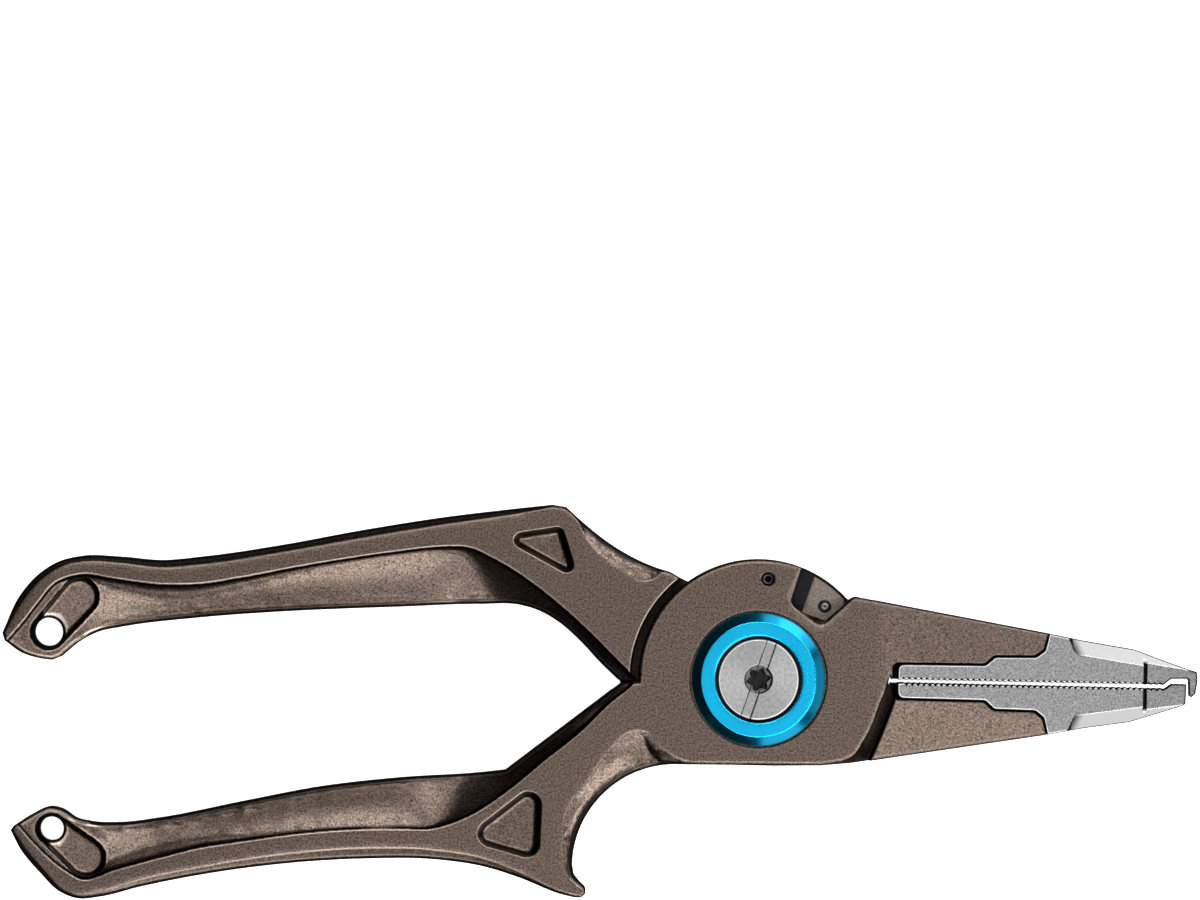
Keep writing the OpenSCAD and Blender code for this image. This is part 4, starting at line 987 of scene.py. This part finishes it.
def blasted_bronze_aluminium():
    """Aluminium, milled, bead-blasted and anodised bronze: a fine matt grain, pale along rubbed edges where a
    painted highlight is laid too, and painted shade in hollows, gaps and along the outline.
    """
    finish, tree, shader = new_finish("blasted_bronze_aluminium", {"Metallic": 1.0, "Roughness": 0.31})
    place = add(tree, "ShaderNodeTexCoord", {}).outputs["Object"]
    # Bead marks drawn coarser than they are, as 0.3 mm, so that they show, and a faint cloud from the dyeing
    coat = blasted(tree, shader, place, 0.3, "#191411", "#817167", 0.45, 0.03)
    broad = add(tree, "ShaderNodeTexNoise", {"Vector": place, "Scale": per_size(14), "Detail": 1.0})
    shade = add(tree, "ShaderNodeMapRange", {"Value": broad, "To Min": 0.0, "To Max": 0.25})
    cloud = add(tree, "ShaderNodeMix", {"Factor": shade, "A": coat,
                                        "B": linear("#51463f")}, data_type="RGBA")
    # Pale where the mesh carries wear and painted highlight, near black where it carries painted shade
    colour = laid_over(tree, cloud, wear="#d6c9bf", cavity="#080605")
    tree.links.new(colour, shader.inputs["Base Color"])
    return finish


def satin_stainless_steel():
    """Stainless steel, blasted satin on the flat faces and ground bright on the bevels, with painted
    highlights on the edges and painted shade in the gaps.
    """
    finish, tree, shader = new_finish("satin_stainless_steel", {"Metallic": 1.0})
    place = add(tree, "ShaderNodeTexCoord", {}).outputs["Object"]
    # Grit marks drawn coarser than they are, as 0.24 mm, so that they show
    satin = blasted(tree, shader, place, 0.24, "#4e4e4e", "#999999", 0.2, 0.02)
    # The bevels are the faces that lean: their upright part is between a wall's and a flat face's. Their
    # paler colour is the ground finish, with a painted highlight that also falls on rounded edges
    normal = add(tree, "ShaderNodeNewGeometry", {}).outputs["True Normal"]
    facing = add(tree, "ShaderNodeSeparateXYZ", {"Vector": normal})
    upright = add(tree, "ShaderNodeMath", {0: facing.outputs["Z"]}, operation="ABSOLUTE")
    leaning = add(tree, "ShaderNodeMapRange", {"Value": upright, "From Min": 0.9, "From Max": 0.8})
    ground = add(tree, "ShaderNodeMix", {"Factor": leaning, "A": satin,
                                         "B": linear("#dcdcdc")}, data_type="RGBA")
    # White painted highlight along the rims, near-black painted shade in the tooth gaps, the tip's groove and
    # the bevel's beginning
    colour = laid_over(tree, ground, wear="#fafafa", cavity="#0e0e0e")
    tree.links.new(colour, shader.inputs["Base Color"])
    gloss = add(tree, "ShaderNodeMapRange", {"Value": leaning, "To Min": 0.36, "To Max": 0.26})
    tree.links.new(gloss.outputs["Result"], shader.inputs["Roughness"])
    return finish


def turned_stainless_steel():
    """Stainless steel faced on a lathe: fine rings around the axis, which fan the light out; a painted
    highlight on its rim and painted shade in its recesses.
    """
    finish, tree, shader = new_finish("turned_stainless_steel",
                                      {"Metallic": 1.0, "Roughness": 0.36, "Anisotropic": 0.25})
    across = add(tree, "ShaderNodeTexCoord", {}).outputs["Object"]
    place = add(tree, "ShaderNodeSeparateXYZ", {"Vector": across})
    flat = add(tree, "ShaderNodeCombineXYZ", {"X": place.outputs["X"], "Y": place.outputs["Y"]})
    out = add(tree, "ShaderNodeVectorMath", {0: flat}, operation="LENGTH")
    # Rings of the lathe's feed, drawn coarser than they are, as 0.16 mm
    rings = add(tree, "ShaderNodeTexNoise", {"W": out, "Scale": per_size(0.16),
                                             "Detail": 2.0}, noise_dimensions="1D")
    tone = add(tree, "ShaderNodeMix", {"Factor": rings, "A": linear("#8b8b8b"),
                                       "B": linear("#adadad")}, data_type="RGBA")
    # Scuffs and stains of half a millimetre
    scuff = add(tree, "ShaderNodeTexNoise", {"Vector": flat, "Scale": per_size(0.5),
                                             "Detail": 3.0, "Roughness": 0.7})
    mark = add(tree, "ShaderNodeMapRange", {"Value": scuff, "From Min": 0.35, "From Max": 0.65,
                                            "To Max": 0.7})
    used = add(tree, "ShaderNodeMix", {"Factor": mark, "A": tone, "B": linear("#7a7a7a")}, data_type="RGBA")
    # White painted highlight along the rim, dark painted shade in the slot, the socket and the countersink
    colour = laid_over(tree, used, wear="#fafafa", cavity="#0a0a0a")
    tree.links.new(colour, shader.inputs["Base Color"])
    around = add(tree, "ShaderNodeTangent", {}, direction_type="RADIAL", axis="Z")
    tree.links.new(around.outputs["Tangent"], shader.inputs["Tangent"])
    return finish


def cyan_anodised_aluminium():
    """Aluminium, turned bright and anodised cyan: a clear, deep blue gloss."""
    finish, tree, shader = new_finish("cyan_anodised_aluminium", {"Metallic": 1.0, "Roughness": 0.24,
                                                                  "Coat Weight": 0.3, "Coat Roughness": 0.12})
    place = add(tree, "ShaderNodeTexCoord", {}).outputs["Object"]
    broad = add(tree, "ShaderNodeTexNoise", {"Vector": place, "Scale": per_size(5), "Detail": 1.0})
    dye = add(tree, "ShaderNodeMix", {"Factor": broad, "A": linear("#06b0e4"),
                                      "B": linear("#0cc0f2")}, data_type="RGBA")
    tree.links.new(dye.outputs["Result"], shader.inputs["Base Color"])
    return finish


def small_part_finish(name, dark, light, grain_mm, sockets):
    """Finish of a small part that is seen in gaps: two close tones in a grain, near black where the mesh
    carries painted shade.
    """
    finish, tree, shader = new_finish(name, sockets)
    place = add(tree, "ShaderNodeTexCoord", {}).outputs["Object"]
    grain = add(tree, "ShaderNodeTexNoise", {"Vector": place, "Scale": per_size(grain_mm), "Detail": 2.0})
    tone = add(tree, "ShaderNodeMix", {"Factor": grain, "A": linear(dark), "B": linear(light)},
               data_type="RGBA")
    # Near black where the mesh carries painted shade, as in the sockets of the cutter screws
    colour = laid_over(tree, tone, cavity="#080808")
    tree.links.new(colour, shader.inputs["Base Color"])
    return finish


FINISHES = {
    "bronze_anodised": blasted_bronze_aluminium(),
    "jaw_steel": satin_stainless_steel(),
    "turned_steel": turned_stainless_steel(),
    "blue_anodised": cyan_anodised_aluminium(),
    # Alloy steel, blackened in hot oxide: dark with a dull gleam
    "screw_steel": small_part_finish("oxide_black_steel", "#5a5a5c", "#868688", 0.3,
                                     {"Metallic": 1.0, "Roughness": 0.42}),
    # Nitrile rubber, moulded: black and matt
    "seal_rubber": small_part_finish("black_nitrile_rubber", "#0a0a0b", "#161617", 0.4, {"Roughness": 0.6}),
    # Bearing bronze, sintered: warm and finely pitted
    "bearing_bronze": small_part_finish("sintered_bronze", "#8a642f", "#b58a4c", 0.2,
                                        {"Metallic": 1.0, "Roughness": 0.45}),
    # Tungsten carbide, ground and coated black
    "black_carbide": small_part_finish("black_coated_carbide", "#141416", "#242427", 0.2,
                                       {"Metallic": 1.0, "Roughness": 0.4}),
    # Tungsten carbide, ground and left grey
    "grey_carbide": small_part_finish("ground_grey_carbide", "#302b27", "#948880", 0.35,
                                      {"Metallic": 1.0, "Roughness": 0.4}),
}
# Width of the edge rounding of the small parts
ROUNDING = {"jaw_steel": 0.13, "blue_anodised": 0.15, "turned_steel": 0.1}

slots = {n: o.data.materials[0].name.split(".")[0] for n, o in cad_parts.items()}
for piece, node, body in ((lower_frame, "lower_handle_frame", "front_half"),
                          (upper_frame, "upper_handle_frame", "rear_half"),
                          (upper_jaw, "upper_jaw_insert", "front_half"),
                          (lower_jaw, "lower_jaw_insert", "rear_half"),
                          (bolt, "pivot_bolt", "front_half"), (shank, "pivot_bolt", "front_half"),
                          (ring, "pivot_ring", "front_half"),
                          (front_screw, "front_cutter_screw", "front_half"),
                          (rear_screw, "rear_cutter_screw", "rear_half")):
    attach(piece, body)
    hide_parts(node)
    piece.data.materials.append(FINISHES[slots[node]])
for name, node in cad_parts.items():
    if not node.hide_render:
        node.material_slots[0].link = "OBJECT"
        node.material_slots[0].material = FINISHES[slots[name]]
        weld = node.modifiers.new("joined_faces", "WELD")
        weld.merge_threshold = 0.002 * MM
        plain = node.modifiers.new("flat_faces", "DECIMATE")
        plain.decimate_type, plain.angle_limit = "DISSOLVE", math.radians(0.5)
        edges = node.modifiers.new("rounded_edges", "BEVEL")
        edges.width, edges.segments = ROUNDING.get(slots[name], 0.06) * MM, 2
        edges.limit_method, edges.angle_limit = "ANGLE", math.radians(32)
        edges.use_clamp_overlap = True
        normals = node.modifiers.new("even_shading", "WEIGHTED_NORMAL")
        normals.keep_sharp = False


# Floor, light and camera

floor_mesh = bpy.data.meshes.new("floor")
floor_mesh.from_pydata([(-3, -3, 0), (3, -3, 0), (3, 3, 0), (-3, 3, 0)], [], [(0, 1, 2, 3)])
floor = bpy.data.objects.new("floor", floor_mesh)
bpy.context.scene.collection.objects.link(floor)
paper = new_finish("lit_white_acrylic", {"Base Color": linear("#f4f4f4"), "Roughness": 0.9,
                                         "Emission Color": linear("#ffffff"), "Emission Strength": 1.0})[0]
floor_mesh.materials.append(paper)
# The photograph's white ground stands far behind the pliers, so the floor stays out of their reflections
floor.visible_glossy = False

world = bpy.data.worlds.new("studio")
bpy.context.scene.world = world
world.use_nodes = True
sky = world.node_tree
towards = add(sky, "ShaderNodeTexCoord", {}).outputs["Generated"]
height = add(sky, "ShaderNodeSeparateXYZ", {"Vector": towards})
glow = add(sky, "ShaderNodeMapRange", {"Value": height.outputs["Z"], "From Min": 0.1, "To Min": 0.04,
                                       "To Max": 0.2})
# Below the horizon the sky stands in for the floor, which gives the side walls something to reflect
ground = add(sky, "ShaderNodeMapRange", {"Value": height.outputs["Z"], "From Min": 0.0, "From Max": -0.06,
                                         "To Max": 0.45})
both = add(sky, "ShaderNodeMath", {0: glow, 1: ground}, operation="ADD")
sky.links.new(both.outputs["Value"], sky.nodes["Background"].inputs["Strength"])


def soft_box(name, azimuth, tilt, size, brightness, distance=1.2, aim=(0, 0, 0), wide=1.0):
    """Soft light that looks at a point, from an azimuth and a tilt away from straight above."""
    lamp = bpy.data.lights.new(name, "AREA")
    lamp.shape = "RECTANGLE"
    lamp.size, lamp.size_y, lamp.energy = size * wide, size, brightness * math.pi * wide * size**2
    holder = bpy.data.objects.new(name, lamp)
    turn, lean = math.radians(azimuth), math.radians(tilt)
    across = math.sin(lean)
    place = Vector((math.cos(turn) * across, math.sin(turn) * across, math.cos(lean))) * distance
    holder.location = place + Vector(aim)
    holder.rotation_euler = (-place).to_track_quat("-Z", "Y").to_euler()
    bpy.context.scene.collection.objects.link(holder)


soft_box("zenith", 0, 0, 0.45, 0.95, 3.2)
soft_box("arm_light", -31, 16, 0.25, 6.5)
soft_box("near_strip", -94, 20, 0.28, 12.0)
soft_box("far_strip", 100, 20, 0.28, 12.0)
soft_box("low_right", -42, 50, 0.62, 6.0, wide=1.8)
soft_box("far_right", 46, 47, 0.5, 6.0, wide=2.0)
soft_box("near_low", -92, 54, 0.2, 4.0, wide=2.5)
soft_box("far_low", 98, 54, 0.2, 4.0, wide=2.5)
soft_box("ring_light", 50, 82, 0.4, 1.2, wide=2.2)
soft_box("ring_fill", -5, 84, 0.3, 0.45, wide=4.0)
for side in (-76, 76):
    soft_box("jaw_reflector", side, 88, 0.2, 0.9, 0.25, (0.056, 0, 0.006))

# Camera square above the pliers, turned a little, with the frame of the picture placed by its scale
PICTURE_W, PICTURE_H = 1200, 900
MM_PER_PIXEL = 0.159
PIVOT_PIXEL = (758.5, 679.5)
ROLL = math.radians(1.24)
CAMERA_HEIGHT = 2.5
lens = bpy.data.cameras.new("camera")
SENSOR_W = 36
lens.sensor_width = SENSOR_W
lens.lens = SENSOR_W * (CAMERA_HEIGHT - BODY_T * MM) / (PICTURE_W * MM_PER_PIXEL * MM)
camera = bpy.data.objects.new("camera", lens)
offset = Vector(((PICTURE_W / 2 - PIVOT_PIXEL[0]) * MM_PER_PIXEL,
                 (PIVOT_PIXEL[1] - PICTURE_H / 2) * MM_PER_PIXEL)) * MM
picture_middle = Matrix.Rotation(ROLL, 2) @ offset
camera.location = (picture_middle.x, picture_middle.y, CAMERA_HEIGHT)
camera.rotation_euler = (0, 0, ROLL)
bpy.context.scene.collection.objects.link(camera)
bpy.context.scene.camera = camera
bpy.context.scene.view_settings.view_transform = "Standard"
